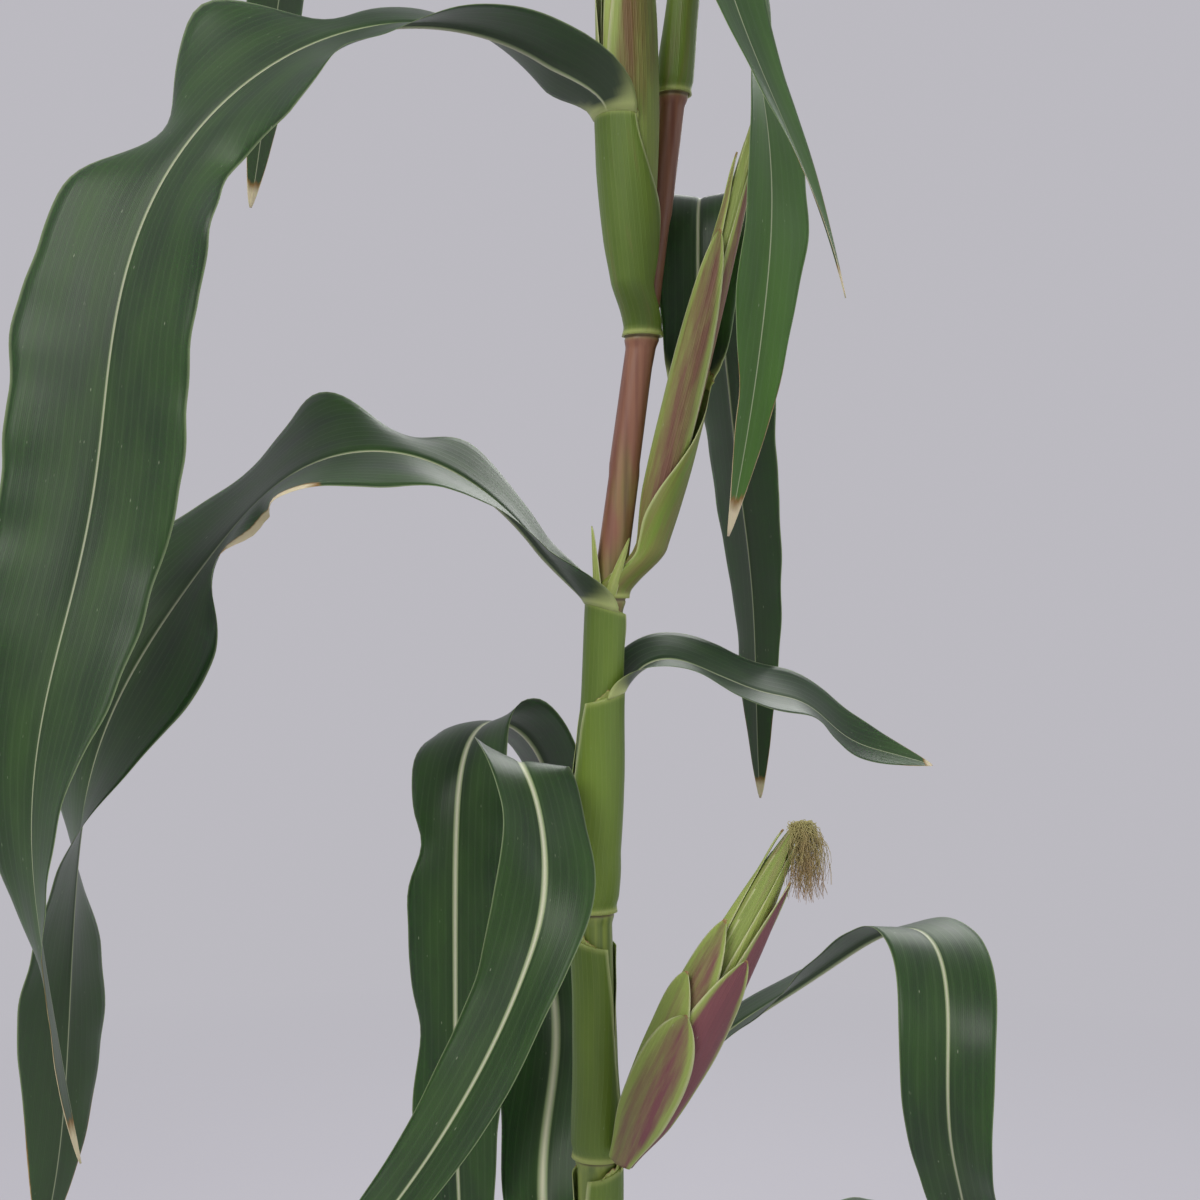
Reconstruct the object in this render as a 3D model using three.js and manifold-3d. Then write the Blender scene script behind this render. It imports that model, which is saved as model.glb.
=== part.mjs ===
// A maize plant at silking time, rooted in level ground: one stalk with its leaf sheaths,
// long arching leaf blades, three young ears and a tassel.
// Millimetres, +Z up. The origin is the middle of the flat cut under the stalk.

import * as THREE from 'three';
import { mergeVertices } from 'three/addons/utils/BufferGeometryUtils.js';
import Module from 'manifold-3d';

const wasm = await Module();
wasm.setup();

// Driving dimensions

const gap = 0.3; // clearance between neighbouring pieces
const tasselFoot = 1950; // height where the stalk ends and the tassel starts
const stalkFootRadius = 16.5;
const stalkVanishHeight = 2900; // height where the stalk's taper would reach nothing
const stalkTaperPower = 1.25;
const stalkSides = 12;
const nodeSwell = 1.5; // how far the stalk bulges at a joint
const nodeHalfHeight = 7;
const rootFlareHeight = 60;
const rootFlare = 5;
const braceRoots = 10; // they leave the two lowest joints in turn
const braceRootRadius = 3.2;
const sheathThickness = 1.5;
const sheathEase = 0.8; // extra room where one sheath covers the next one's foot
const sheathCoverEnd = 44; // how far below a covered joint a sheath has widened in full
const sheathHalfOpening = 62; // half the angle left open where a sheath holds an ear
const collarRise = 4; // how much higher a collar is at the blade than at its opening
const bladeThicknessShare = 0.0105; // a blade's thickness against its length
const bladeCup = 0.16; // how far the margins stand above the midrib, against half the width
const bladeSteps = 20;
const bladeStandOff = 0.5; // from the sheath's collar to the blade's own foot

// The stalk leans a little to the right, with a slight turn at some joints: height, offset along X.
const stalkLean = [
  [0, 0],
  [523, 9],
  [800, 4],
  [872, 6.5],
  [984, 12],
  [1138, 32.7],
  [1280, 50.5],
  [1404, 64],
  [1950, 106],
];

// Each leaf has the height of its joint and of its collar, the side that its collar faces in degrees
// from +X, its blade's length and greatest width, and the share of the blade that lies before the
// bend where it is split. Then come seven stations, evenly spaced from the collar to the tip, with
// the blade's pitch above level, its heading round the stalk and its roll about the midrib.
const leaves = [
  {
    name: 'leaf_01', joint: 95, collar: 158, faces: -25, length: 470, width: 58, split: 0.34,
    pitch: [60, 46, 4, -34, -50, -46, -30],
    heading: [-25, -22, -18, -12, -8, 0, 6],
    roll: [0, 4, 8, 6, 0, -6, 0],
  },
  {
    name: 'leaf_02', joint: 165, collar: 254, faces: 160, length: 620, width: 72, split: 0.36,
    pitch: [66, 44, 0, -46, -66, -66, -56],
    heading: [160, 178, 200, 206, 210, 212, 214],
    roll: [0, -4, -8, -8, 0, 8, 4],
  },
  {
    name: 'leaf_03', joint: 260, collar: 379, faces: 22, length: 760, width: 84, split: 0.36,
    pitch: [70, 56, 12, -44, -70, -74, -66],
    heading: [22, 26, 34, 44, 50, 54, 58],
    roll: [0, 4, 10, 12, 4, -6, -4],
  },
  {
    name: 'leaf_04', joint: 385, collar: 516, faces: 150, length: 1050, width: 76, split: 0.4,
    pitch: [82, 50, 92, -70, -92, -98, -85],
    heading: [149, 80, 190, 262, 255, 255, 247],
    roll: [0, 0, 2, 12, -3, -1, 0],
  },
  {
    name: 'leaf_05', joint: 523, collar: 650, faces: 35, length: 610, width: 60, split: 0.38,
    pitch: [59, 35, 31, -36, -122, -116, -92],
    heading: [31, 5, -50, -92, -114, -108, -84],
    roll: [0, 0, 0, 1, 1, 0, 0],
  },
  {
    name: 'leaf_06', joint: 656, collar: 784, faces: 158, length: 515, width: 58, split: 0.24,
    pitch: [78, 64, -60, -66, -58, -52, -70],
    heading: [164, 236, 298, 214, 192, 188, 190],
    roll: [5, -12, -15, -30, -45, -45, -40],
  },
  {
    name: 'leaf_07', joint: 800, collar: 927, faces: 10, length: 263, width: 70, split: 0,
    pitch: [81, -9, -20, -11, -36, -16, -17],
    heading: [20, 32, 33, 38, 36, 21, 17],
    roll: [0, 27, 33, 29, 46, 41, 31],
  },
  {
    name: 'leaf_08', joint: 872, collar: 979, faces: 190, length: 690, width: 118, split: 0.4,
    pitch: [67, 22, -42, -61, -84, -84, -70],
    heading: [186, 204, 168, 200, 160, 140, 150],
    roll: [-2, -34, -27, -46, -35, -6, 8],
  },
  {
    name: 'leaf_09', joint: 984, collar: 1110, faces: 70, length: 543, width: 76, split: 0.3,
    pitch: [87, 77, -63, -81, -80, -88, -86],
    heading: [78, 86, 66, 43, 38, 39, 40],
    roll: [0, 0, 0, 0, 0, 0, 0],
  },
  {
    name: 'leaf_10', joint: 1138, collar: 1258, faces: 232, length: 821, width: 119, split: 0.24,
    pitch: [54, -11, -57, -83, -74, -96, -101],
    heading: [178, 190, 204, 227, 229, 203, 185],
    roll: [48, -33, -37, -28, -32, -13, 0],
  },
  {
    name: 'leaf_11', joint: 1280, collar: 1397, faces: -30, length: 632, width: 65, split: 0.34,
    pitch: [84, 78, -41, -97, -75, -67, -76],
    heading: [-32, -78, -107, -81, -48, -17, 0],
    roll: [0, 0, 2, 8, 12, 15, 11],
  },
  {
    name: 'leaf_12', joint: 1404, collar: 1490, faces: 152, length: 700, width: 84, split: 0.36,
    pitch: [62, 48, 6, -52, -74, -78, -74],
    heading: [152, 150, 146, 142, 140, 138, 136],
    roll: [0, -4, -8, -10, -4, 4, 4],
  },
  {
    name: 'leaf_13', joint: 1496, collar: 1590, faces: -28, length: 838, width: 87, split: 0.22,
    pitch: [84, -20, -129, -112, -79, -98, -105],
    heading: [-45, -49, -35, -28, -30, -49, -42],
    roll: [0, 0, -1, -5, -11, 9, -1],
  },
  {
    name: 'leaf_14', joint: 1600, collar: 1690, faces: 200, length: 600, width: 76, split: 0.4,
    pitch: [64, 58, 34, -20, -56, -70, -74],
    heading: [200, 204, 210, 216, 222, 226, 228],
    roll: [0, 4, 8, 8, 0, -6, -4],
  },
  {
    name: 'leaf_15', joint: 1705, collar: 1790, faces: 20, length: 430, width: 58, split: 0,
    pitch: [66, 62, 50, 30, 4, -22, -34],
    heading: [20, 22, 28, 36, 44, 50, 54],
    roll: [0, 0, 6, 10, 6, 0, 0],
  },
];

// Each ear has its foot beside the stalk, its lean from upright and the side it leans to, its length
// and greatest radius, and its husk leaves: side, length, half the angle they wrap, layer.
const ears = [
  {
    name: 'ear_1', foot: [20, -22, 656], lean: 27, leansTo: -10, length: 222, radius: 15, fullest: 0.42,
    husks: [
      { faces: 20, length: 196, wraps: 78, layer: 0 },
      { faces: 200, length: 158, wraps: 78, layer: 0 },
      { faces: 285, length: 126, wraps: 74, layer: 1 },
      { faces: 105, length: 104, wraps: 74, layer: 1 },
    ],
  },
  {
    name: 'ear_2', foot: [31.5, -5, 990], lean: 14.5, leansTo: 0, length: 292, radius: 9.5, fullest: 0.36,
    husks: [{ faces: 250, length: 214, wraps: 80, layer: 0 }],
  },
  {
    name: 'ear_3', foot: [27, -18.5, 1146], lean: 1.5, leansTo: 200, length: 270, radius: 15, fullest: 0.5,
    husks: [
      { faces: 330, length: 240, wraps: 80, layer: 0 },
      { faces: 150, length: 216, wraps: 80, layer: 0 },
    ],
  },
];
const huskThickness = 2.3;
const huskFoot = 6; // how far up the ear a husk leaf begins
const huskFacets = 5;
const huskWidest = 80; // half the angle of the widest husk leaf
const huskEase = 0.5; // extra room between an ear and its husk, for the facets along it
const huskStandOff = 7; // how far a husk leaf's point stands off the ear
const earFootRadius = 5;
const earTipRadius = 2;
const earSides = 12;

// Which ear stands inside which leaf's sheath, and the side where that sheath is open
const earInSheath = {
  leaf_09: { ear: 'ear_2', opens: 180 },
  leaf_10: { ear: 'ear_3', opens: 60 },
};

const tasselLength = 360;
const tasselRadius = 5;
const tasselBranches = 12;

const seatTurns = 6; // slides made for one seating
const seatReach = 12; // how far apart pieces may stand before they are seated

// Materials

function finish(color, roughness) {
  return new THREE.MeshStandardMaterial({ color, roughness, metalness: 0 });
}

const stalkGreen = finish(0x7c8a3c, 0.55);
const sheathGreen = finish(0x647d30, 0.6);
const bladeGreen = finish(0x36523a, 0.5);
const huskGreen = finish(0x81903f, 0.65);
const huskPurple = finish(0x6b3f4a, 0.65);
const silkTan = finish(0xa8935f, 0.8);
const tasselStraw = finish(0xb09a5e, 0.8);

// Helpers

const rad = THREE.MathUtils.degToRad;
const smooth = THREE.MathUtils.smoothstep;

// Carries each vertex of a geometry to the place that a rule gives for it.
function bend(geometry, rule) {
  const at = geometry.attributes.position;
  const point = new THREE.Vector3();
  for (let i = 0; i < at.count; i++) {
    point.fromBufferAttribute(at, i);
    rule(point);
    at.setXYZ(i, point.x, point.y, point.z);
  }
  geometry.computeVertexNormals();
  return geometry;
}

function toSolid(geometry) {
  const bare = geometry.index ? geometry.toNonIndexed() : geometry.clone();
  bare.deleteAttribute('normal');
  bare.deleteAttribute('uv');
  const welded = mergeVertices(bare, 1e-3);
  const mesh = new wasm.Mesh({
    numProp: 3,
    vertProperties: Float32Array.from(welded.attributes.position.array),
    triVerts: Uint32Array.from(welded.index.array),
  });
  return new wasm.Manifold(mesh);
}

function toGeometry(solid) {
  const mesh = solid.getMesh();
  const geometry = new THREE.BufferGeometry();
  geometry.setAttribute('position', new THREE.BufferAttribute(mesh.vertProperties, 3));
  geometry.setIndex(new THREE.BufferAttribute(mesh.triVerts, 1));
  geometry.computeVertexNormals();
  return geometry;
}

function sideways(degrees) {
  return new THREE.Vector3(Math.cos(rad(degrees)), Math.sin(rad(degrees)), 0);
}

// The stalk

function stalkAxis(height) {
  let i = 1;
  while (i < stalkLean.length - 1 && stalkLean[i][0] < height) i++;
  const [lowHeight, lowOffset] = stalkLean[i - 1];
  const [highHeight, highOffset] = stalkLean[i];
  const share = (height - lowHeight) / (highHeight - lowHeight);
  return new THREE.Vector3(lowOffset + (highOffset - lowOffset) * share, 0, height);
}

function internodeRadius(height) {
  return stalkFootRadius * Math.pow(1 - height / stalkVanishHeight, stalkTaperPower);
}

const jointHeights = [32, 58, ...leaves.map((leaf) => leaf.joint), 1830];

function stalkRadius(height) {
  let radius = internodeRadius(height);
  for (const joint of jointHeights) {
    radius += nodeSwell * (1 - smooth(Math.abs(height - joint), 0, nodeHalfHeight));
  }
  return radius + rootFlare * (1 - smooth(height, 0, rootFlareHeight));
}

function stalkHeights() {
  const heights = [0, 12, rootFlareHeight * 0.75];
  for (const joint of jointHeights) {
    heights.push(joint - nodeHalfHeight, joint, joint + nodeHalfHeight);
  }
  for (const [height] of stalkLean) heights.push(height);
  heights.push(tasselFoot);
  heights.sort((a, b) => a - b);
  return heights.filter((height, i) => i === 0 || height - heights[i - 1] > 4);
}

// One brace root runs from a low joint out and down to the ground, and on below it to be cut.
function braceRoot(index) {
  const fromUpper = index % 2 === 1;
  const out = sideways((360 * (index + 0.5)) / braceRoots + (fromUpper ? 9 : 0));
  const startHeight = fromUpper ? 52 : 30;
  const reach = fromUpper ? 46 : 34;
  const path = new THREE.QuadraticBezierCurve3(
    out.clone().multiplyScalar(stalkFootRadius / 2).setZ(startHeight),
    out.clone().multiplyScalar(reach * 0.85).setZ(startHeight * 0.9),
    out.clone().multiplyScalar(reach).setZ(-8),
  );
  const section = new THREE.Shape().absarc(0, 0, braceRootRadius, 0, Math.PI * 2);
  return new THREE.ExtrudeGeometry(section, {
    steps: 5,
    curveSegments: 6,
    bevelEnabled: false,
    extrudePath: path,
  });
}

function makeStalk() {
  const heights = stalkHeights();
  const rings = heights.length - 1;
  const body = new THREE.CylinderGeometry(1, 1, rings, stalkSides, rings);
  body.rotateX(Math.PI / 2);
  bend(body, (point) => {
    const height = heights[Math.round(point.z + rings / 2)];
    const axis = stalkAxis(height);
    const radius = stalkRadius(height);
    point.set(axis.x + point.x * radius, axis.y + point.y * radius, height);
  });
  let solid = toSolid(body);
  for (let i = 0; i < braceRoots; i++) solid = solid.add(toSolid(braceRoot(i)));
  const below = new THREE.BoxGeometry(300, 300, 40).translate(0, 0, -20);
  solid = solid.subtract(toSolid(below));
  return new THREE.Mesh(toGeometry(solid), stalkGreen);
}

// Ears

function earRadius(ear, along) {
  const share = along / ear.length;
  if (share < ear.fullest) {
    const rise = Math.sin((share / ear.fullest) * (Math.PI / 2));
    return earFootRadius + (ear.radius - earFootRadius) * rise;
  }
  const fall = Math.cos(((share - ear.fullest) / (1 - ear.fullest)) * (Math.PI / 2));
  return earTipRadius + (ear.radius - earTipRadius) * Math.pow(fall, 0.85);
}

function earDirection(ear) {
  const out = sideways(ear.leansTo).multiplyScalar(Math.sin(rad(ear.lean)));
  return out.setZ(Math.cos(rad(ear.lean)));
}

function placeAlongEar(mesh, ear) {
  mesh.position.set(...ear.foot);
  mesh.quaternion.setFromUnitVectors(new THREE.Vector3(0, 0, 1), earDirection(ear));
  return mesh;
}

function makeEarCore(ear) {
  const profile = [new THREE.Vector2(0, 0)];
  const steps = 12;
  for (let i = 0; i <= steps; i++) {
    const along = (ear.length * i) / steps;
    profile.push(new THREE.Vector2(earRadius(ear, along), along));
  }
  profile.push(new THREE.Vector2(0, ear.length + earTipRadius));
  const geometry = new THREE.LatheGeometry(profile, earSides);
  geometry.rotateX(Math.PI / 2);
  return placeAlongEar(new THREE.Mesh(geometry, huskGreen), ear);
}

// The radius where a husk leaf of some layer begins, clear of the flat facets beneath it
function huskInner(ear, along, layer) {
  const flat = Math.cos(rad(huskWidest / huskFacets));
  let radius = earRadius(ear, along) + huskEase;
  for (let i = 0; i < layer; i++) radius = (radius + gap) / flat + huskThickness;
  return (radius + gap) / flat;
}

// A husk leaf is a shell round the ear whose two margins close in to a point that stands off a little.
function makeHuskLeaf(ear, husk) {
  const geometry = new THREE.BoxGeometry(1, 1, 1, huskFacets, 9, 1);
  bend(geometry, (point) => {
    const share = point.y + 0.5;
    const along = huskFoot + (husk.length - huskFoot) * share;
    const closing = Math.pow(1 - Math.pow(share, 3), 0.75);
    const halfAngle = husk.wraps * Math.max(closing, 0.08);
    const angle = rad(husk.faces + 2 * halfAngle * point.x);
    const inner = huskInner(ear, along, husk.layer) + huskStandOff * Math.pow(share, 6);
    const radius = inner + huskThickness * (point.z + 0.5);
    point.set(radius * Math.cos(angle), radius * Math.sin(angle), along);
  });
  return placeAlongEar(new THREE.Mesh(geometry, huskPurple), ear);
}

// The silk leaves the ear's tip, bends over and hangs as one tuft.
function makeSilk(ear, tuft) {
  const tip = new THREE.Vector3(...ear.foot).addScaledVector(earDirection(ear), ear.length + tuft.clear);
  const out = sideways(tuft.faces);
  const path = new THREE.CubicBezierCurve3(
    tip,
    tip.clone().addScaledVector(earDirection(ear), tuft.rise),
    tip.clone().addScaledVector(out, tuft.reach).add(new THREE.Vector3(0, 0, tuft.rise * 0.7)),
    tip.clone().addScaledVector(out, tuft.reach).add(new THREE.Vector3(0, 0, -tuft.drop)),
  );
  const steps = 8;
  const frames = path.computeFrenetFrames(steps, false);
  const geometry = new THREE.CylinderGeometry(1, 1, steps, 7, steps);
  geometry.rotateX(Math.PI / 2);
  bend(geometry, (point) => {
    const i = Math.round(point.z + steps / 2);
    const share = i / steps;
    const radius = tuft.radius * (0.3 + 0.7 * Math.sin(Math.PI * (0.1 + 0.62 * share)));
    const spot = path.getPoint(share);
    spot.addScaledVector(frames.normals[i], point.x * radius);
    spot.addScaledVector(frames.binormals[i], point.y * radius);
    point.copy(spot);
  });
  return new THREE.Mesh(geometry, silkTan);
}

// Sheaths

// What a sheath wraps: the stalk, or the ear that pushes it off the stalk.
function carrierOf(leaf) {
  const ear = ears.find((candidate) => candidate.name === earInSheath[leaf.name]?.ear);
  if (!ear) {
    const radius = (height) => Math.max(...[-9, 0, 9].map((step) => stalkRadius(height + step)));
    return { axis: stalkAxis, radius };
  }
  const foot = new THREE.Vector3(...ear.foot);
  const direction = earDirection(ear);
  const slant = direction.z;
  return {
    axis: (height) => foot.clone().addScaledVector(direction, (height - foot.z) / slant),
    radius: (height) => {
      const along = Math.max((height - foot.z) / slant, 0);
      const ahead = Math.min(along + 12, ear.length * ear.fullest); // the ear still swells up to here
      return (huskInner(ear, Math.max(along, ahead), 0) + huskThickness) / slant + gap;
    },
  };
}

const sheathFacets = 10;
const sheathStep = 360 / sheathFacets; // the widest turn from one facet to the next

function sheathInner(leaf, height) {
  const next = leaves[leaves.indexOf(leaf) + 1];
  const covers = next && next.joint < leaf.collar;
  const flat = Math.cos(rad(sheathStep / 2));
  const inner = (carrierOf(leaf).radius(height) + gap) / flat;
  if (!covers) return inner;
  const outer = (inner + sheathThickness + gap + sheathEase) / flat;
  return inner + (outer - inner) * smooth(height, leaf.joint, next.joint - sheathCoverEnd);
}

function makeSheath(leaf) {
  const up = 4;
  const carrier = carrierOf(leaf);
  const held = earInSheath[leaf.name];
  const foot = leaf.joint + (held ? 14 : 1);
  const middle = held ? held.opens - 180 : leaf.faces;
  const geometry = new THREE.BoxGeometry(1, 1, 1, sheathFacets, up, 1);
  bend(geometry, (point) => {
    const share = point.y + 0.5;
    const opening = held ? sheathHalfOpening : 9 + 22 * Math.pow(share, 2);
    const turn = point.x * (360 - 2 * opening);
    const slope = collarRise * Math.cos(rad(middle + turn - leaf.faces)) * share;
    const height = foot + (leaf.collar - foot) * share + slope;
    const radius = sheathInner(leaf, height) + sheathThickness * (point.z + 0.5);
    const axis = carrier.axis(height);
    point.copy(sideways(middle + turn).multiplyScalar(radius).add(axis));
  });
  return new THREE.Mesh(geometry, sheathGreen);
}

// Blades

function bladeHalfWidth(leaf, share) {
  const base = 0.46 + 0.54 * smooth(share, 0, 0.3);
  const taper = Math.pow(1 - Math.pow(Math.min(share, 1), 2.6), 0.8);
  return 0.5 * leaf.width * (base * taper + 0.02);
}

// The blade's midrib, worked out step by step from its angles, with the blade's own three axes.
function bladeFrames(leaf) {
  const stations = leaf.pitch.map((pitch, i) => new THREE.Vector3(pitch, leaf.heading[i], leaf.roll[i]));
  const angles = new THREE.CatmullRomCurve3(stations, false, 'catmullrom', 0.5);
  const thickness = leaf.length * bladeThicknessShare;
  const start = new THREE.Vector3();
  const carrier = carrierOf(leaf);
  const clear = sheathInner(leaf, leaf.collar) + sheathThickness + bladeStandOff + 0.6 * thickness;
  start.copy(carrier.axis(leaf.collar)).addScaledVector(sideways(leaf.faces), clear);
  const frames = [];
  const fine = 10;
  const spot = start.clone();
  for (let i = 0; i <= bladeSteps * fine; i++) {
    const at = angles.getPoint(i / (bladeSteps * fine));
    const [pitch, heading, roll] = [rad(at.x), rad(at.y), rad(at.z)];
    const along = new THREE.Vector3(
      Math.cos(pitch) * Math.cos(heading),
      Math.cos(pitch) * Math.sin(heading),
      Math.sin(pitch),
    );
    const level = new THREE.Vector3(-Math.sin(heading), Math.cos(heading), 0);
    const above = new THREE.Vector3().crossVectors(along, level);
    const side = level.clone().multiplyScalar(Math.cos(roll)).addScaledVector(above, Math.sin(roll));
    const face = new THREE.Vector3().crossVectors(along, side);
    frames.push({ spot: spot.clone(), side, face, along });
    spot.addScaledVector(along, leaf.length / (bladeSteps * fine));
  }
  return frames;
}

function makeBlade(leaf, frames, from, to) {
  const steps = Math.max(Math.round((to - from) * bladeSteps), 4);
  const thickness = leaf.length * bladeThicknessShare;
  const geometry = new THREE.BoxGeometry(1, 1, 1, steps, 2, 1);
  bend(geometry, (point) => {
    const share = from + (to - from) * (point.x + 0.5);
    const place = share * (frames.length - 1);
    const low = Math.min(Math.floor(place), frames.length - 2);
    const rest = place - low;
    const spot = frames[low].spot.clone().lerp(frames[low + 1].spot, rest);
    const side = frames[low].side.clone().lerp(frames[low + 1].side, rest).normalize();
    const face = frames[low].face.clone().lerp(frames[low + 1].face, rest).normalize();
    const across = 2 * point.y;
    const halfWidth = bladeHalfWidth(leaf, share);
    const cup = bladeCup * halfWidth * Math.abs(across);
    spot.addScaledVector(side, across * halfWidth);
    spot.addScaledVector(face, cup + thickness * point.z * (1 - 0.35 * Math.abs(across)));
    point.copy(spot);
  });
  return new THREE.Mesh(geometry, bladeGreen);
}

// The tassel: a middle spike with side branches that leave it near its foot and arch out.

function makeTasselBranch(start, direction, length, droop, radius) {
  const steps = 6;
  const geometry = new THREE.CylinderGeometry(0.35, 1, steps, 5, steps);
  geometry.rotateX(Math.PI / 2);
  const flat = new THREE.Vector3(direction.x, direction.y, 0);
  const across = flat.lengthSq() > 1e-6 ? flat.normalize().cross(new THREE.Vector3(0, 0, 1)) : null;
  const side = across ?? new THREE.Vector3(0, 1, 0);
  const other = new THREE.Vector3().crossVectors(direction, side);
  bend(geometry, (point) => {
    const share = point.z / steps + 0.5;
    const spot = start.clone().addScaledVector(direction, length * share);
    spot.z -= droop * share * share;
    spot.addScaledVector(side, point.x * radius);
    spot.addScaledVector(other, point.y * radius);
    point.copy(spot);
  });
  return geometry;
}

function makeTassel() {
  const foot = stalkAxis(tasselFoot).add(new THREE.Vector3(0, 0, gap));
  const upright = new THREE.Vector3(0.07, 0, 1).normalize();
  let solid = toSolid(makeTasselBranch(foot, upright, tasselLength, 0, tasselRadius));
  for (let i = 0; i < tasselBranches; i++) {
    const share = i / (tasselBranches - 1);
    const start = foot.clone().addScaledVector(upright, 30 + 105 * share);
    const direction = sideways(137.5 * i + 20).multiplyScalar(0.75 - 0.35 * share).setZ(1).normalize();
    const branch = makeTasselBranch(start, direction, 230 - 70 * share, 70 - 40 * share, 3.4);
    solid = solid.add(toSolid(branch));
  }
  return new THREE.Mesh(toGeometry(solid), tasselStraw);
}

// Seating

function placedSolid(mesh) {
  mesh.updateMatrix();
  return toSolid(mesh.geometry.clone().applyMatrix4(mesh.matrix));
}

// Slides pieces together along a direction until the nearest of them lies one gap from its neighbours.
function seat(pieces, neighbours, direction) {
  const still = neighbours.map(placedSolid);
  for (let turn = 0; turn < seatTurns; turn++) {
    const moving = pieces.map(placedSolid);
    const distances = moving.flatMap((piece) => still.map((other) => piece.minGap(other, seatReach)));
    const slide = Math.max(Math.min(...distances) - gap, 0);
    for (const piece of pieces) piece.position.addScaledVector(direction, slide);
  }
}

// The plant

const plant = new THREE.Group();

function add(mesh, name) {
  mesh.name = name;
  plant.add(mesh);
}

const stalk = makeStalk();
add(stalk, 'stalk');

const sheaths = leaves.map(makeSheath);
const bareSheaths = sheaths.filter((sheath, i) => !(leaves[i].name in earInSheath));

const tufts = {
  ear_1: { clear: 2.6, faces: -10, rise: 16, reach: 12, drop: 46, radius: 9 },
  ear_3: { clear: 2.6, faces: 215, rise: 18, reach: 16, drop: 34, radius: 9 },
};
const earPieces = {};
for (const ear of ears) {
  const pieces = [makeEarCore(ear)];
  add(pieces[0], ear.name);
  ear.husks.forEach((husk, i) => {
    pieces.push(makeHuskLeaf(ear, husk));
    add(pieces[i + 1], `${ear.name}_husk_${i + 1}`);
  });
  if (ear.name in tufts) {
    pieces.push(makeSilk(ear, tufts[ear.name]));
    add(pieces.at(-1), `${ear.name}_silk`);
  }
  const toStalk = stalkAxis(ear.foot[2]).sub(new THREE.Vector3(...ear.foot)).normalize();
  seat(pieces, [stalk, ...bareSheaths], toStalk);
  earPieces[ear.name] = pieces;
}

leaves.forEach((leaf, i) => {
  const sheath = sheaths[i];
  const held = earInSheath[leaf.name];
  if (held) seat([sheath], [stalk, ...earPieces[held.ear]], sideways(held.opens));
  add(sheath, leaf.name.replace('leaf', 'sheath'));
});

for (const [i, leaf] of leaves.entries()) {
  const frames = bladeFrames(leaf);
  const pieces = [];
  if (leaf.split === 0) {
    pieces.push(makeBlade(leaf, frames, 0, 1));
    add(pieces[0], leaf.name);
  } else {
    const halfGap = (0.5 * gap) / leaf.length;
    pieces.push(makeBlade(leaf, frames, 0, leaf.split - halfGap));
    pieces.push(makeBlade(leaf, frames, leaf.split + halfGap, 1));
    add(pieces[0], `${leaf.name}_base`);
    add(pieces[1], `${leaf.name}_end`);
  }
  const near = [stalk, sheaths[i], ...sheaths.slice(i + 1, i + 2)];
  seat(pieces, near, sideways(leaf.faces + 180));
}

add(makeTassel(), 'tassel');

export default plant;
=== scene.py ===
import bisect
import random
from math import copysign, cos, degrees, exp, pi, radians, sin, sqrt, tau

import bmesh
import bpy
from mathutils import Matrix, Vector, noise


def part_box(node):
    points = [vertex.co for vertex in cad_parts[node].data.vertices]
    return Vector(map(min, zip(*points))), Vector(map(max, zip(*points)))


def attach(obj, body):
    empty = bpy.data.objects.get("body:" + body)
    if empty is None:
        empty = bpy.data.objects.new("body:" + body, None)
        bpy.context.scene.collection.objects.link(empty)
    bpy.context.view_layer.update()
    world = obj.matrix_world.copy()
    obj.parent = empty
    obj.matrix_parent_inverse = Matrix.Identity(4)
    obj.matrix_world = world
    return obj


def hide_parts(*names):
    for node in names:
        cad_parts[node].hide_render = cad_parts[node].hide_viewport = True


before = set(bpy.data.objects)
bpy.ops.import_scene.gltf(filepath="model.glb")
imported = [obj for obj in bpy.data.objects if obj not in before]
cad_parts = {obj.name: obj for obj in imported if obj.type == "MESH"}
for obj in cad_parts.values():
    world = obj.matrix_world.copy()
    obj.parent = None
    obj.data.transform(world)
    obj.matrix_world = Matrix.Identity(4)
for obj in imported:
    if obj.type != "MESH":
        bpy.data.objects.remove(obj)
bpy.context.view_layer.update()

# A maize plant at silking time. Sizes are in millimetres until a mesh is finished, then in metres.
metres = 0.001
mapScale = 0.01  # the leaves' own map is in decimetres
up = Vector((0, 0, 1))
dice = random.Random(31)


def smooth(value, low, high):
    share = min(max((value - low) / (high - low), 0.0), 1.0)
    return share * share * (3.0 - 2.0 * share)


def blendOf(first, second, share):
    return first + (second - first) * share


def bell(value, middle, width):
    return exp(-((value - middle) / width) ** 2)


def sideways(angle):
    return Vector((cos(radians(angle)), sin(radians(angle)), 0.0))


def wobble(x, y, z):
    return noise.noise(Vector((x, y, z)))


def addObject(name, data):
    item = bpy.data.objects.new(name, data)
    bpy.context.scene.collection.objects.link(item)
    return item


def meshOf(bm, name):
    mesh = bpy.data.meshes.new(name)
    bm.to_mesh(mesh)
    bm.free()
    return mesh


def finishPiece(bm, name, material, nodes=()):
    bmesh.ops.recalc_face_normals(bm, faces=bm.faces)
    bmesh.ops.scale(bm, vec=[metres] * 3, verts=bm.verts)
    mesh = meshOf(bm, name)
    mesh.polygons.foreach_set("use_smooth", [True] * len(mesh.polygons))
    mesh.materials.append(material)
    piece = addObject(name, mesh)
    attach(piece, "root")
    if nodes:
        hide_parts(*nodes)


# A closed slab. Each vertex comes with its share along it, its place across it from -1 to 1, and 0 or 1 for the
# lower or upper face
def addSlab(bm, along, across):
    lower = bmesh.ops.create_grid(bm, x_segments=along, y_segments=across, size=0.5)["verts"]
    faces = list({face for vert in lower for face in vert.link_faces})
    pushed = bmesh.ops.extrude_face_region(bm, geom=faces)["geom"]
    upper = [item for item in pushed if isinstance(item, bmesh.types.BMVert)]
    bmesh.ops.translate(bm, vec=(0.5, 0.5, 0.0), verts=lower + upper)
    return [(vert, vert.co.x, 2 * vert.co.y - 1, level)
            for level, verts in enumerate((lower, upper)) for vert in verts]


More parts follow.
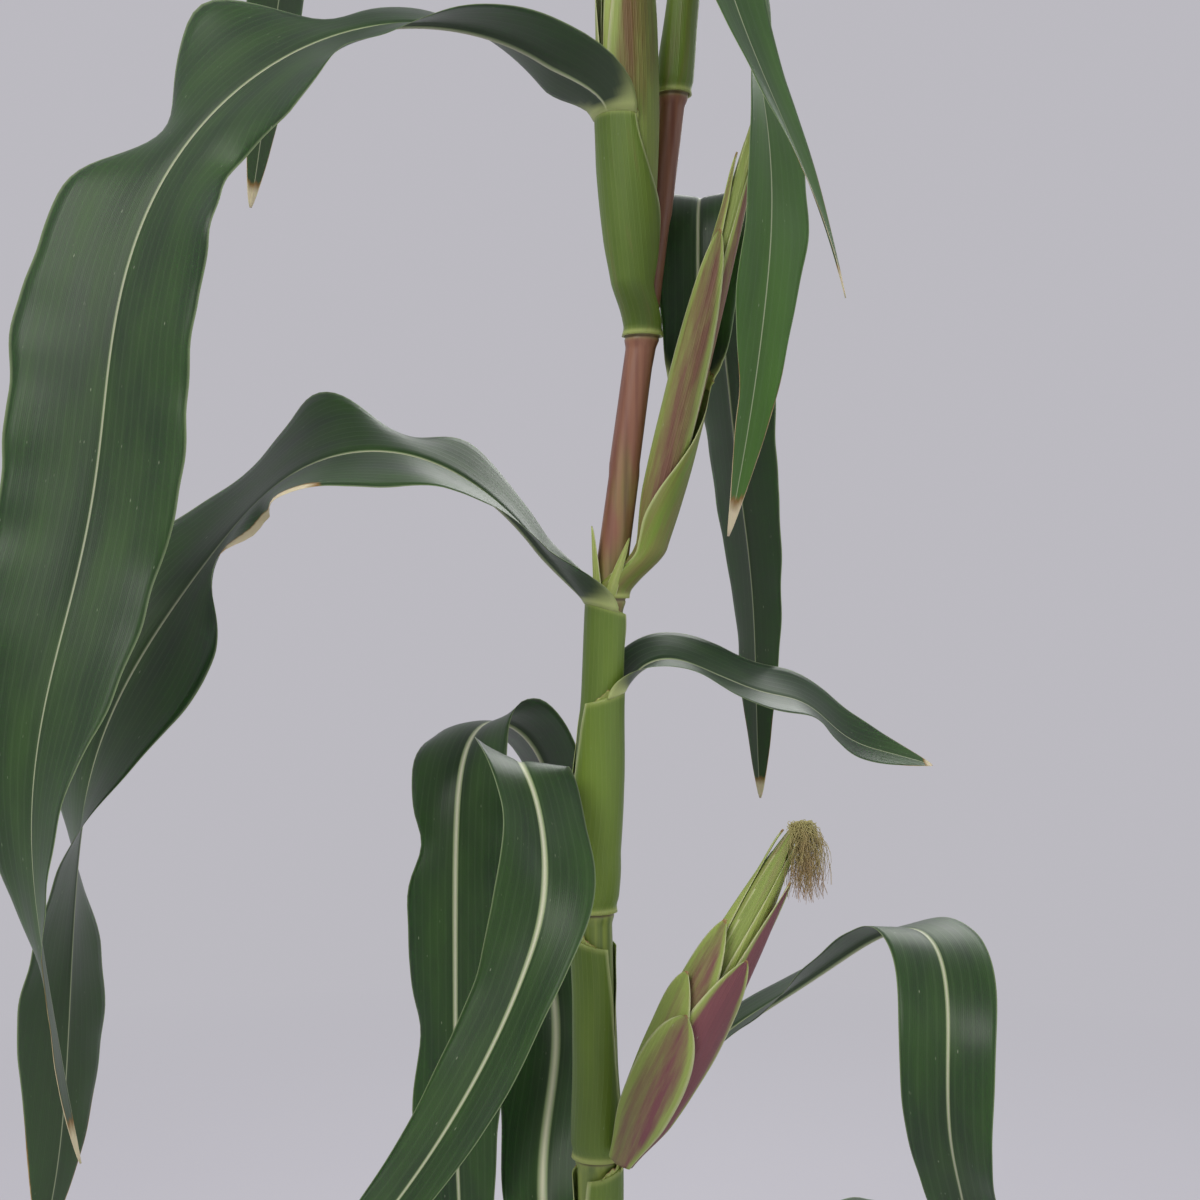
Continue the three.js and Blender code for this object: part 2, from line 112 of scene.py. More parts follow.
# A grid over 0..1 by 0..1 rolled into a tube by a rule, with its seam merged and its ends closed
def addTube(bm, along, around, rule):
    made = bmesh.ops.create_grid(bm, x_segments=along, y_segments=around, size=0.5)["verts"]
    for vert in made:
        vert.co = rule(vert.co.x + 0.5, vert.co.y + 0.5)
    bmesh.ops.remove_doubles(bm, verts=made, dist=0.0004)
    kept = [vert for vert in made if vert.is_valid]
    edges = list({edge for vert in kept for edge in vert.link_edges if edge.is_boundary})
    bmesh.ops.holes_fill(bm, edges=edges, sides=0)
    return kept


def layersOf(bm, names):
    return {name: bm.verts.layers.float.new(name) for name in names}


def paint(vert, layers, **amounts):
    for name, amount in amounts.items():
        vert[layers[name]] = amount


# A mesh for leaves, with its painted layers and the place of each vertex on the leaf's surface
def newLeafMesh():
    bm = bmesh.new()
    return bm, layersOf(bm, ["edge", "under", "bright", "stain", "collar", "dry", "ribHalf", "warm"]), {}


def mark(sheet, vert, across, along, **amounts):
    sheet[2][vert] = (across * mapScale, along * mapScale)
    paint(vert, sheet[1], **amounts)


def finishLeaf(sheet, name, material, nodes=()):
    bm, _, spots = sheet
    surface = bm.loops.layers.uv.new("leafMap")
    for face in bm.faces:
        for loop in face.loops:
            loop[surface].uv = spots[loop.vert]
    finishPiece(bm, name, material, nodes)


def colour(code):
    parts = [int(code[i:i + 2], 16) / 255 for i in (0, 2, 4)]
    linear = [((part + 0.055) / 1.055) ** 2.4 if part > 0.04045 else part / 12.92 for part in parts]
    return (*linear, 1.0)


def coloursOf(look):
    return {key: colour(value) for key, value in look.items() if isinstance(value, str)}


def setAll(item, **values):
    for name, value in values.items():
        setattr(item, name, value)


# Sockets are linked, anything else is a plain value
def setInputs(tree, item, inputs):
    for name, value in inputs.items():
        if isinstance(value, bpy.types.NodeSocket):
            tree.links.new(value, item.inputs[name])
        else:
            item.inputs[name].default_value = value


def addNode(tree, kind, inputs=None, **settings):
    item = tree.nodes.new("ShaderNode" + kind)
    setAll(item, **settings)
    setInputs(tree, item, inputs or {})
    return item


def addNoise(tree, place, scale, detail, stretch=None, roughness=0.5):
    if stretch:
        place = addNode(tree, "Mapping", {"Vector": place, "Scale": stretch}).outputs[0]
    inputs = {"Vector": place, "Scale": scale, "Detail": detail, "Roughness": roughness}
    return addNode(tree, "TexNoise", inputs).outputs[0]


def addBump(tree, height, strength, distance=0.0003):
    return addNode(tree, "Bump", {"Strength": strength, "Distance": distance, "Height": height}).outputs[0]


def mixColour(tree, share, first, second):
    return addNode(tree, "Mix", {0: share, 6: first, 7: second}, data_type="RGBA").outputs[2]


# Lays colours over a base, one after another
def mixLayers(tree, base, rows):
    for share, over in rows:
        base = mixColour(tree, share, base, over)
    return base


def mapValue(tree, value, fromLow, fromHigh, toLow=0.0, toHigh=1.0):
    ranges = {"Value": value, "From Min": fromLow, "From Max": fromHigh, "To Min": toLow, "To Max": toHigh}
    return addNode(tree, "MapRange", ranges).outputs[0]


def calc(tree, operation, first, second=0.0, third=0.0):
    return addNode(tree, "Math", {0: first, 1: second, 2: third}, operation=operation).outputs[0]


def addGroup(tree, group, inputs):
    return addNode(tree, "Group", inputs, node_tree=group).outputs


def painted(tree, name):
    return addNode(tree, "Attribute", attribute_name=name).outputs["Fac"]


socketKinds = {"Vector": "Vector", "Rim": "Color", "Bleached": "Color", "Color": "Color"}  # the rest are numbers


def newGroup(name, takes, gives):
    group = bpy.data.node_groups.new(name, "ShaderNodeTree")
    for way, sockets in (("INPUT", takes), ("OUTPUT", gives)):
        for socket in sockets:
            kind = "NodeSocket" + socketKinds.get(socket, "Float")
            group.interface.new_socket(socket, in_out=way, socket_type=kind)
    return group, group.nodes.new("NodeGroupInput").outputs, group.nodes.new("NodeGroupOutput")


# Parallel veins: fine ones close together and a stronger one every few of them
def makeVeinGroup():
    takes = ["Across", "Along", "Fine spacing", "Coarse spacing"]
    group, takes, gives = newGroup("parallelVeins", takes, ["Fine", "Coarse", "Height"])
    drift = addNode(group, "CombineXYZ", {0: calc(group, "MULTIPLY", takes["Across"], 6.0), 1: takes["Along"]})
    wander = addNoise(group, drift.outputs[0], 1.6, 2.0)
    moved = calc(group, "MULTIPLY_ADD", wander, 0.02, takes["Across"])

    def lines(spacing, sharpness):
        turns = calc(group, "MULTIPLY", calc(group, "DIVIDE", moved, spacing), tau)
        wave = calc(group, "MULTIPLY_ADD", calc(group, "COSINE", turns), 0.5, 0.5)
        return calc(group, "POWER", wave, sharpness)

    fine, coarse = lines(takes["Fine spacing"], 2.0), lines(takes["Coarse spacing"], 7.0)
    height = calc(group, "MULTIPLY_ADD", coarse, 1.6, fine)
    setInputs(group, gives, {"Fine": fine, "Coarse": coarse, "Height": height})
    return group


# Soft patches of lighter and darker tissue, drawn out along the leaf, small pale scuffs, and a fine grain
def makePatchGroup():
    group, takes, gives = newGroup("tissuePatches", ["Vector", "Patch size"], ["Patch", "Scuff", "Grain"])
    place = takes["Vector"]
    patch = addNoise(group, place, takes["Patch size"], 5.0, (3.0, 0.7, 1.0))
    long = addNode(group, "Mapping", {"Vector": place, "Scale": (1.6, 0.5, 1.0)}).outputs[0]
    cells = addNode(group, "TexVoronoi", {"Vector": long, "Scale": 26.0}).outputs["Distance"]
    rare = mapValue(group, addNoise(group, place, 7.0, 1.0), 0.6, 0.68)
    setInputs(group, gives, {
        "Patch": mapValue(group, patch, 0.32, 0.7),
        "Scuff": calc(group, "MULTIPLY", mapValue(group, cells, 0.16, 0.05), rare),
        "Grain": addNoise(group, place, 90.0, 4.0),
    })
    return group


# Dead tissue: a ragged mask from a painted amount, with a brown rim and a bleached middle
def makeDryGroup():
    group, takes, gives = newGroup("driedTissue", ["Amount", "Vector", "Rim", "Bleached"], ["Mask", "Color"])
    rag = addNoise(group, takes["Vector"], 5.0, 5.0, (4.0, 0.8, 1.0), 0.65)
    rag = calc(group, "MULTIPLY_ADD", rag, 0.5, -0.25)
    ragged = calc(group, "ADD", takes["Amount"], rag)
    tone = mixColour(group, mapValue(group, ragged, 0.5, 0.75), takes["Rim"], takes["Bleached"])
    setInputs(group, gives, {"Mask": mapValue(group, ragged, 0.4, 0.5), "Color": tone})
    return group


veinGroup = makeVeinGroup()
patchGroup = makePatchGroup()
dryGroup = makeDryGroup()


def newMaterial(name):
    material = bpy.data.materials.new(name)
    material.use_nodes = True
    return material, material.node_tree, material.node_tree.nodes["Principled BSDF"]


# Everything green on the plant: blades, sheaths and husk leaves differ only in the values given here
def makeLeafMaterial(name, look):
    material, tree, shader = newMaterial(name)
    tone = coloursOf(look)
    surface = addNode(tree, "UVMap", uv_map="leafMap").outputs[0]
    across, along, _ = addNode(tree, "SeparateXYZ", {0: surface}).outputs
    veins = addGroup(tree, veinGroup, {
        "Across": across, "Along": along,
        "Fine spacing": look["fineVeins"], "Coarse spacing": look["coarseVeins"],
    })
    patches = addGroup(tree, patchGroup, {"Vector": surface, "Patch size": look["patchSize"]})
    dried = addGroup(tree, dryGroup, {
        "Amount": painted(tree, "dry"), "Vector": surface, "Rim": tone["dryRim"], "Bleached": tone["dryPale"],
    })

    patch = patches["Patch"]
    # The bright layer: on blades it carries a painted glow of light shining through each leaf
    bright = calc(tree, "ADD", painted(tree, "bright"), mapValue(tree, patch, 0, 1, -0.14, 0.14))
    streaks = addNoise(tree, surface, 3.0, 4.0, (look["streaks"], 0.5, 1.0), 0.6)
    stain = calc(tree, "ADD", painted(tree, "stain"), mapValue(tree, streaks, 0.25, 0.75, -0.3, 0.3))
    stainTone = mixColour(tree, painted(tree, "warm"), tone["stain"], tone["warmStain"])
    ribHalf = painted(tree, "ribHalf")
    ribShare = calc(tree, "DIVIDE", calc(tree, "ABSOLUTE", across), calc(tree, "MAXIMUM", ribHalf, 0.0005))
    rib = mapValue(tree, ribShare, 1.0, 0.72)
    ribTone = mixColour(tree, mapValue(tree, ribShare, 0.75, 0.1), tone["ribSide"], tone["rib"])
    most = look["ribShow"]
    ribShow = mapValue(tree, ribHalf, 0.004, 0.024, 0.5 * most, most)  # a thin midrib is greener
    base = mixLayers(tree, tone["deep"], [
        (bright, tone["bright"]),
        (mapValue(tree, veins["Fine"], 0, 1, 0, look["fineShow"]), tone["vein"]),
        (mapValue(tree, veins["Coarse"], 0, 1, 0, look["coarseShow"]), tone["vein"]),
        (mapValue(tree, painted(tree, "under"), 0, 1, 0, look["underShow"]), tone["under"]),
        (mapValue(tree, stain, 0.3, 0.85, 0.0, look["stainShow"]), stainTone),
        (calc(tree, "MULTIPLY", rib, ribShow), ribTone),
        (mapValue(tree, painted(tree, "edge"), look["rimStart"], 1.0, 0.0, look["rimShow"]), tone["rim"]),
        (painted(tree, "collar"), tone["collar"]),
        (mapValue(tree, patches["Scuff"], 0, 1, 0, 0.4), tone["scuff"]),
        (dried["Mask"], dried["Color"]),
    ])
    gloss = mapValue(tree, patch, 0.0, 1.0, look["roughLow"], look["roughHigh"])
    height = calc(tree, "MULTIPLY_ADD", patches["Grain"], 0.8, veins["Height"])
    height = calc(tree, "MULTIPLY_ADD", rib, 1.2, height)
    setInputs(tree, shader, {
        "Base Color": base,
        "Roughness": calc(tree, "ADD", gloss, mapValue(tree, dried["Mask"], 0, 1, 0, 0.32)),
        "Normal": addBump(tree, height, look["bump"]),
        "Specular IOR Level": look["shine"],
        "Sheen Weight": look["sheen"],
        "Sheen Roughness": 0.45,
        "Sheen Tint": (0.85, 0.9, 0.95, 1.0),
        "Subsurface Weight": look["glowThrough"],
        "Subsurface Radius": (0.5, 1.0, 0.25),
        "Subsurface Scale": 0.0016,
    })
    return material


# Blades, sheaths and husk leaves: one value for all three, or one for each
leafLooks = {
    "deep": ["273b22", "425c1a", "6a8032"], "bright": ["507a2a", "78922c", "a8b95c"],
    "vein": ["6f8a5f", "93a656", "b4be76"], "under": ["3e4b38", "8a9f52", "a0ad62"],
    "underShow": [0.7, 0.6, 0.6], "rib": "dcdebd", "ribSide": "8a9c6c", "ribShow": [0.95, 0.0, 0.0],
    "rim": ["a3b386", "c6cf92", "d0d2a2"], "rimStart": [0.965, 0.92, 0.86], "rimShow": [0.6, 0.9, 0.9],
    "collar": ["bac57e", "b4bf6c", "c2c284"], "stain": ["6a4a44", "8d5f4c", "7b384c"],
    "warmStain": ["7d5c2c", "7d5c2c", "74502c"], "stainShow": [0.5, 0.7, 0.92], "streaks": 5.0,
    "patchSize": 1.6, "scuff": "b9c2a4",
    "dryRim": ["8a6a3a", "8a6a3a", "9a7a4c"], "dryPale": ["dccfab", "dccfab", "cdb98c"],
    "fineVeins": [0.0105, 0.009, 0.008], "coarseVeins": [0.047, 0.03, 0.026],
    "fineShow": [0.02, 0.08, 0.14], "coarseShow": [0.07, 0.1, 0.16],
    "roughLow": [0.37, 0.4, 0.46], "roughHigh": [0.47, 0.52, 0.6], "bump": [0.09, 0.25, 0.4], "sheen": 0.05,
    "glowThrough": [0.08, 0.1, 0.1], "shine": [0.3, 0.5, 0.5],
}
leafMaterials = []
for i, name in enumerate(("bladeLeaf", "sheathLeaf", "huskLeaf")):
    own = {key: value[i] if isinstance(value, list) else value for key, value in leafLooks.items()}
    leafMaterials.append(makeLeafMaterial(name, own))
bladeMaterial, sheathMaterial, huskMaterial = leafMaterials

# Green below the turn height, reddish above it, and green again above the back height, in metres
stalkLook = {
    "low": "8a9a45", "lowDark": "5f7434", "high": "95674f", "highDark": "7a4b3c", "ring": "b9bd7c",
    "scar": "5d4a2c", "root": "8d6b48", "top": "8f9a56", "turnHeight": 0.98, "backHeight": 1.7,
}


def makeStalkMaterial(look):
    material, tree, shader = newMaterial("stalkRind")
    tone = coloursOf(look)
    spot = addNode(tree, "TexCoord").outputs["Object"]
    height = addNode(tree, "SeparateXYZ", {0: spot}).outputs[2]
    fibre = addNoise(tree, spot, 1.0, 4.0, (260.0, 260.0, 5.0))
    patch = addNoise(tree, spot, 1.0, 3.0, (40.0, 40.0, 9.0))
    dark = mapValue(tree, fibre, 0.35, 0.7)
    turn = calc(tree, "ADD", height, mapValue(tree, patch, 0.3, 0.7, -0.06, 0.06))
    high = mixColour(tree, dark, tone["high"], tone["highDark"])
    base = mixLayers(tree, mixColour(tree, dark, tone["low"], tone["lowDark"]), [
        (mapValue(tree, turn, look["turnHeight"], look["turnHeight"] + 0.07), high),
        (mapValue(tree, turn, look["backHeight"], look["backHeight"] + 0.2), tone["top"]),
        *((painted(tree, name), tone[name]) for name in ("ring", "scar", "root")),
    ])
    setInputs(tree, shader, {
        "Base Color": base,
        "Roughness": mapValue(tree, patch, 0.3, 0.7, 0.36, 0.52),
        "Normal": addBump(tree, fibre, 0.7),
        "Coat Weight": 0.1,
        "Coat Roughness": 0.35,
    })
    return material


# Silk, florets and pollen sacs: a colour that runs from root to tip along each small piece
def makeSprayMaterial(name, root, tip, rough, sheen):
    material, tree, shader = newMaterial(name)
    spot = addNode(tree, "TexCoord").outputs["Object"]
    patch = addNoise(tree, spot, 140.0, 3.0)
    share = calc(tree, "ADD", painted(tree, "share"), mapValue(tree, patch, 0.3, 0.7, -0.25, 0.25))
    setInputs(tree, shader, {
        "Base Color": mixColour(tree, share, colour(root), colour(tip)),
        "Roughness": mapValue(tree, patch, 0.3, 0.7, rough - 0.08, rough + 0.08),
        "Normal": addBump(tree, patch, 0.4, 0.0002),
        "Sheen Weight": sheen,
        "Sheen Roughness": 0.4,
    })
    return material


stalkMaterial = makeStalkMaterial(stalkLook)
silkMaterial = makeSprayMaterial("silkThread", "b2aa6c", "9b7a54", 0.5, 0.15)
floretMaterial = makeSprayMaterial("tasselFloret", "8c9150", "b79a62", 0.6, 0.15)
sacMaterial = makeSprayMaterial("pollenSac", "c9b25a", "b98d4c", 0.55, 0.1)
print("materials ready")


stalk = {
    "lean": [[0, 0], [523, 9], [800, 4], [872, 6.5], [984, 12], [1138, 32.7], [1280, 50.5], [1404, 64],
             [1950, 106]],
    "top": 1950, "footRadius": 16.5, "vanishHeight": 2900, "taperPower": 1.25, "flareHeight": 60, "flare": 5,
    "nodeSwell": 1.5, "nodeHalfHeight": 7, "sides": 44, "ringStep": 7, "jointStep": 1.1,
    "ridges": [[0.45, 2.6, 1.1], [-0.55, 0.2, 0.8]],  # the ridge that a leaf's foot leaves, the groove under it
    "furrow": 0.7,  # above a bud
}
braceRoot = {"count": 10, "radius": 3.2, "starts": [30, 52], "reaches": [34, 46], "twist": 9}

# Each leaf: its joint and collar heights, the side its collar faces, its blade's length, width and split, its
# midrib's width, how deep its margins wave, how bright it is (a painted glow of light shining through the blade),
# and seven stations of pitch, heading and roll.
# Then what few have: where the dry tip starts, a dry stretch of one margin (side, start and end), folds that draw
# one margin in (side, share, width and depth), and its sheath's stain and brightness. A sheath that holds an ear
# names it, with the side it opens to and half the angle it wraps on top.
leafKeys = [
    "joint", "collar", "faces", "length", "width", "split", "rib", "wave", "bright", "pitch", "heading", "roll",
]
leafRows = [
    [95, 158, -25, 470, 58, 0.34, 4, 2.5, 0.5, [60, 46, 4, -34, -50, -46, -30],
     [-25, -22, -18, -12, -8, 0, 6], [0, 4, 8, 6, 0, -6, 0], {"dryTip": 0.8, "stain": 0.7}],
    [165, 254, 160, 620, 72, 0.36, 4.5, 3, 0.4, [66, 44, 0, -46, -66, -66, -56],
     [160, 178, 200, 206, 210, 212, 214], [0, -4, -8, -8, 0, 8, 4], {"dryTip": 0.93, "stain": 0.5}],
    [260, 379, 22, 760, 84, 0.36, 5, 3.5, 0.25, [70, 56, 12, -44, -70, -74, -66],
     [22, 26, 34, 44, 50, 54, 58], [0, 4, 10, 12, 4, -6, -4], {"dryTip": 0.97, "stain": 0.35}],
    [385, 516, 150, 1050, 76, 0.4, 7, 6, 0.12, [82, 50, 92, -70, -92, -98, -85],
     [149, 80, 190, 262, 255, 255, 247], [0, 0, 2, 12, -3, -1, 0],
     {"ruffle": 0.14, "folds": [[-1, 0.53, 0.018, 0.26], [-1, 0.64, 0.025, 0.16], [1, 0.58, 0.025, 0.16]]}],
    [523, 650, 35, 610, 60, 0.38, 4, 2, 0.1, [59, 35, 31, -36, -122, -116, -92],
     [31, 5, -50, -92, -114, -108, -84], [0, 0, 0, 1, 1, 0, 0], {}],
    [656, 784, 158, 515, 58, 0.24, 5.5, 2, 0.12, [78, 64, -60, -66, -58, -52, -70],
     [164, 236, 298, 214, 192, 188, 190], [5, -12, -15, -30, -45, -45, -40], {"pale": 0.3}],
    [800, 927, 10, 263, 70, 0, 2.4, 1.6, 0.05, [81, -9, -20, -11, -36, -16, -17],
     [20, 32, 33, 38, 36, 21, 17], [0, 27, 33, 29, 46, 41, 31], {"pale": 0.55}],
    [872, 979, 190, 690, 118, 0.4, 2.6, 3, 0.12, [67, 22, -42, -61, -84, -84, -70],
     [186, 204, 168, 200, 160, 140, 150], [-2, -34, -27, -46, -35, -6, 8],
     {"pale": 0.45, "dryMargin": [1, 0.25, 0.39], "folds": [[-1, 0.2, 0.035, 0.42],
      [-1, 0.272, 0.026, -0.13], [1, 0.335, 0.02, 0.6], [1, 0.405, 0.035, -0.14]]}],
    [984, 1110, 70, 543, 76, 0.3, 2.4, 2, 0.05, [87, 77, -63, -81, -80, -88, -86],
     [78, 86, 66, 43, 38, 39, 40], [0, 0, 0, 0, 0, 0, 0],
     {"dryTip": 0.988, "stain": 0.48, "pale": 0.65, "ear": "ear_2", "opensTo": 180, "wraps": 62}],
    [1138, 1258, 232, 821, 119, 0.24, 2.4, 3, 0.08, [54, -11, -57, -83, -74, -96, -101],
     [178, 190, 204, 227, 229, 203, 185], [48, -33, -37, -28, -32, -13, 0],
     {"dryTip": 0.98, "ruffle": 0.1, "stain": 0.28, "ear": "ear_3", "opensTo": 60, "wraps": 50,
      "folds": [[-1, 0.195, 0.03, 0.42], [-1, 0.252, 0.022, -0.14], [-1, 0.325, 0.034, 0.42],
      [1, 0.225, 0.04, -0.28], [1, 0.335, 0.035, 0.34]]}],
    [1280, 1397, -30, 632, 65, 0.34, 2.2, 1.5, 0.3, [84, 78, -41, -97, -75, -67, -76],
     [-32, -78, -107, -81, -48, -17, 0], [0, 0, 2, 8, 12, 15, 11], {"stain": 0.3, "pale": 0.55}],
    [1404, 1490, 152, 700, 84, 0.36, 3, 3, 0.15, [62, 48, 6, -52, -74, -78, -74],
     [152, 150, 146, 142, 140, 138, 136], [0, -4, -8, -10, -4, 4, 4], {}],
    [1496, 1590, -28, 838, 87, 0.22, 3, 2.5, 0.5, [84, -20, -129, -112, -79, -98, -105],
     [-45, -49, -35, -28, -30, -49, -42], [0, 0, -1, -5, -11, 9, -1],
     {"folds": [[-1, 0.83, 0.03, -0.3], [-1, 0.9, 0.02, 0.15]]}],
    [1600, 1690, 200, 600, 76, 0.4, 3, 2.5, 0.2, [64, 58, 34, -20, -56, -70, -74],
     [200, 204, 210, 216, 222, 226, 228], [0, 4, 8, 8, 0, -6, -4], {}],
    [1705, 1790, 20, 430, 58, 0, 2.6, 2, 0.25, [66, 62, 50, 30, 4, -22, -34], [20, 22, 28, 36, 44, 50, 54],
     [0, 0, 6, 10, 6, 0, 0], {}],
]
usual = {"dryTip": 0.985, "ruffle": 0.04, "folds": [], "stain": 0.12, "pale": 0.4}
leaves = [{"name": f"leaf_{number:02d}", **usual, **dict(zip(leafKeys, row)), **row[-1]}
          for number, row in enumerate(leafRows, 1)]
for leaf, above in zip(leaves, leaves[1:]):
    if above["joint"] < leaf["collar"]:
        leaf["nextJoint"] = above["joint"]
jointHeights = [32, 58] + [leaf["joint"] for leaf in leaves] + [1830]


def stalkAxis(height):
    for low, high in zip(stalk["lean"], stalk["lean"][1:]):
        if height <= high[0]:
            break
    return Vector((blendOf(low[1], high[1], (height - low[0]) / (high[0] - low[0])), 0.0, height))


def nearestJoint(height):
    above = bisect.bisect(jointHeights, height)
    return min(jointHeights[max(above - 1, 0):above + 1], key=lambda joint: abs(height - joint))


def stalkRadius(height, swellFrom=0, swellTo=stalk["nodeHalfHeight"]):
    taper = (1 - height / stalk["vanishHeight"]) ** stalk["taperPower"]
    swell = stalk["nodeSwell"] * (1 - smooth(abs(height - nearestJoint(height)), swellFrom, swellTo))
    return stalk["footRadius"] * taper + swell + stalk["flare"] * (1 - smooth(height, 0, stalk["flareHeight"]))


# The rings of the stalk: evenly spaced, and close together round each joint
def stalkHeights():
    heights = [stalk["ringStep"] * i for i in range(int(stalk["top"] / stalk["ringStep"]) + 1)] + [stalk["top"]]
    heights += [joint + stalk["jointStep"] * i for joint in jointHeights for i in range(-8, 9)]
    kept = []
    for height in sorted(heights):
        if not kept or height - kept[-1] > 0.8:
            kept.append(height)
    return kept


def makeStalk():
    bm = bmesh.new()
    layers = layersOf(bm, ["ring", "scar", "root"])
    heights = stalkHeights()

    def stalkPoint(along, around):
        height = heights[round(along * (len(heights) - 1))]
        joint = nearestJoint(height)
        turn = 360.0 * around
        radius = stalkRadius(height)
        for size, place, width in stalk["ridges"]:
            radius += size * bell(height - joint, place, width)
        ease = smooth(abs(height - joint), 6, 20)
        bud = 0 if jointHeights.index(joint) % 2 else 180
        radius -= stalk["furrow"] * ease * max(cos(radians(turn - bud)), 0.0) ** 8
        radius += 0.12 * ease * wobble(6 * cos(radians(turn)), 6 * sin(radians(turn)), height * 0.02)
        return stalkAxis(height) + sideways(turn) * radius

    for vert in addTube(bm, len(heights) - 1, stalk["sides"], stalkPoint):
        off = vert.co.z - nearestJoint(vert.co.z)
        paint(vert, layers, ring=0.75 * (1 - smooth(abs(off - 4), 1.5, 7)),
              scar=0.85 * (1 - smooth(abs(off - 0.2), 0.4, 1.5)), root=0.25 * (1 - smooth(vert.co.z, 0, 40)))
    for index in range(braceRoot["count"]):
        for vert in addBraceRoot(bm, index):
            paint(vert, layers, root=0.55 + 0.4 * smooth(vert.co.z, 30, 0))
    whole = bm.verts[:] + bm.edges[:] + bm.faces[:]
    cut = bmesh.ops.bisect_plane(bm, geom=whole, plane_co=(0, 0, 0), plane_no=(0, 0, -1), clear_outer=True)
    rim = [item for item in cut["geom_cut"] if isinstance(item, bmesh.types.BMEdge)]
    bmesh.ops.holes_fill(bm, edges=[edge for edge in rim if edge.is_boundary], sides=0)
    finishPiece(bm, "stalk_rind", stalkMaterial, ["stalk"])


# A brace root leaves one of the two lowest joints, bends down and enters the ground
def addBraceRoot(bm, index):
    row = index % 2
    start, reach = braceRoot["starts"][row], braceRoot["reaches"][row]
    out = sideways(360 * (index + 0.5) / braceRoot["count"] + braceRoot["twist"] * row)
    first = out * (stalk["footRadius"] / 2) + up * start
    second = out * (reach * 0.85) + up * (start * 0.9)
    third = out * reach - up * 8
    across = out.cross(up)

    def rootPoint(along, around):
        spot = first * (1 - along) ** 2 + second * (2 * along * (1 - along)) + third * along ** 2
        ahead = ((second - first) * (1 - along) + (third - second) * along).normalized()
        turn = tau * around
        radius = braceRoot["radius"] * (1 + 0.12 * sin(along * 31 + index) + 0.1 * (1 - along))
        return spot + (across * cos(turn) + ahead.cross(across) * sin(turn)) * radius

    return addTube(bm, 22, 14, rootPoint)


makeStalk()
print("stalk ready")


inSheath = {"start": 8, "footShare": 0.4, "footEnd": 60, "standOff": 4}
# Each ear: foot, lean and its side, length, radius and where it is fullest. Husk leaves are side, length, half
# the angle they wrap, layer and how purple they are. Outer ones lie over them, inner ones have no layer and show
# at the tip. Points are small stiff leaves at an ear's foot: own foot, tip, half width and the side they face.
# An ear in a sheath has the height of that sheath's joint.
ears = {
    "ear_1": {
        "foot": [20, -22, 656], "lean": 27, "leansTo": -10, "length": 222, "radius": 15, "fullest": 0.42,
        "start": 6, "footShare": 0.62, "footEnd": 40, "standOff": 3, "purpleSide": 308, "warm": 0,
        "husks": [[328, 196, 64, 0, 0.62], [224, 162, 66, 1, 0.6], [288, 148, 56, 2, 0.72],
                  [105, 104, 74, 1, 0.5]],
        "outer": [[216, 126, 62, 3, 0.4], [247, 106, 58, 4, 0.46]],
        "inner": [[320, 226, 62, 0.0], [60, 214, 60, 0.05], [180, 220, 60, 0.15]],
        "tuft": {"faces": -10, "rise": 14, "reach": 12, "drop": 33, "radius": 8, "tangle": 8},
    },
    "ear_2": {
        "foot": [31.5, -5, 990], "lean": 14.5, "leansTo": 0, "length": 292, "radius": 9.5, "fullest": 0.36,
        **inSheath, "joint": 984, "purpleSide": 290, "warm": 0.55,
        "husks": [[250, 214, 80, 0, 0.4]],
        "inner": [[330, 290, 66, 0.75], [90, 280, 66, 0.4], [210, 262, 66, 0.55]],
        "points": [[[5, -9, 983], [3.5, -11, 1027], 4.6, 215], [[12, -12.5, 983], [25, -17.5, 1020], 4, 265]],
    },
    "ear_3": {
        "foot": [27, -18.5, 1146], "lean": 1.5, "leansTo": 200, "length": 270, "radius": 15, "fullest": 0.5,
        **inSheath, "joint": 1138, "purpleSide": 238, "warm": 1, "stainFrom": 0.5,
        "husks": [[300, 240, 84, 0, 0.42], [150, 216, 80, 0, 0.3]],
        "inner": [[20, 268, 66, 0.3], [140, 260, 66, 0.3], [260, 266, 66, 0.3]],
        "tuft": {"faces": 215, "rise": 18, "reach": 16, "drop": 34, "radius": 9, "tangle": 7},
    },
}
husk = {"thickness": 2.3, "facets": 5, "widest": 80, "ease": 0.5, "gap": 0.3, "leafStep": 1.2}
earEnds = {"foot": 5, "tip": 2}
silk = {"threads": 300, "radius": 0.26, "steps": 21}


def earRadius(ear, along):
    share = min(max(along / ear["length"], 0.0), 1.0)
    if share < ear["fullest"]:
        return blendOf(earEnds["foot"], ear["radius"], sin(share / ear["fullest"] * pi / 2))
    fall = max(cos((share - ear["fullest"]) / (1 - ear["fullest"]) * pi / 2), 0.0)
    return blendOf(earEnds["tip"], ear["radius"], fall ** 0.85)


# The radius under a husk leaf of the solids, whose few facets need room
def huskInner(ear, along):
    radius = earRadius(ear, along) + husk["ease"] + husk["gap"]
    return radius / cos(radians(husk["widest"] / husk["facets"]))


# The solid ear was slid against the stalk: its base moves by as much as the middle of its box does
for earName, ear in ears.items():
    ear["aim"] = sideways(ear["leansTo"]) * sin(radians(ear["lean"])) + up * cos(radians(ear["lean"]))
    ear["turn"] = up.rotation_difference(ear["aim"])
    low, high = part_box(earName)
    slide = (low + high) * 500.0 - (Vector(ear["foot"]) + ear["aim"] * (ear["length"] / 2))
    ear["base"] = Vector(ear["foot"]) + Vector((slide.x, slide.y, 0.0))


def onEar(ear, angle, radius, along):
    axis = ear["base"] + ear["aim"] * along
    spot = ear["turn"] @ Vector((radius * cos(angle), radius * sin(angle), 0)) + axis
    if "joint" in ear:  # the foot of an ear in a sheath starts inside the stalk
        spot += (stalkAxis(axis.z) - axis) * (1 - smooth(axis.z, ear["joint"], ear["joint"] + 34))
    return spot


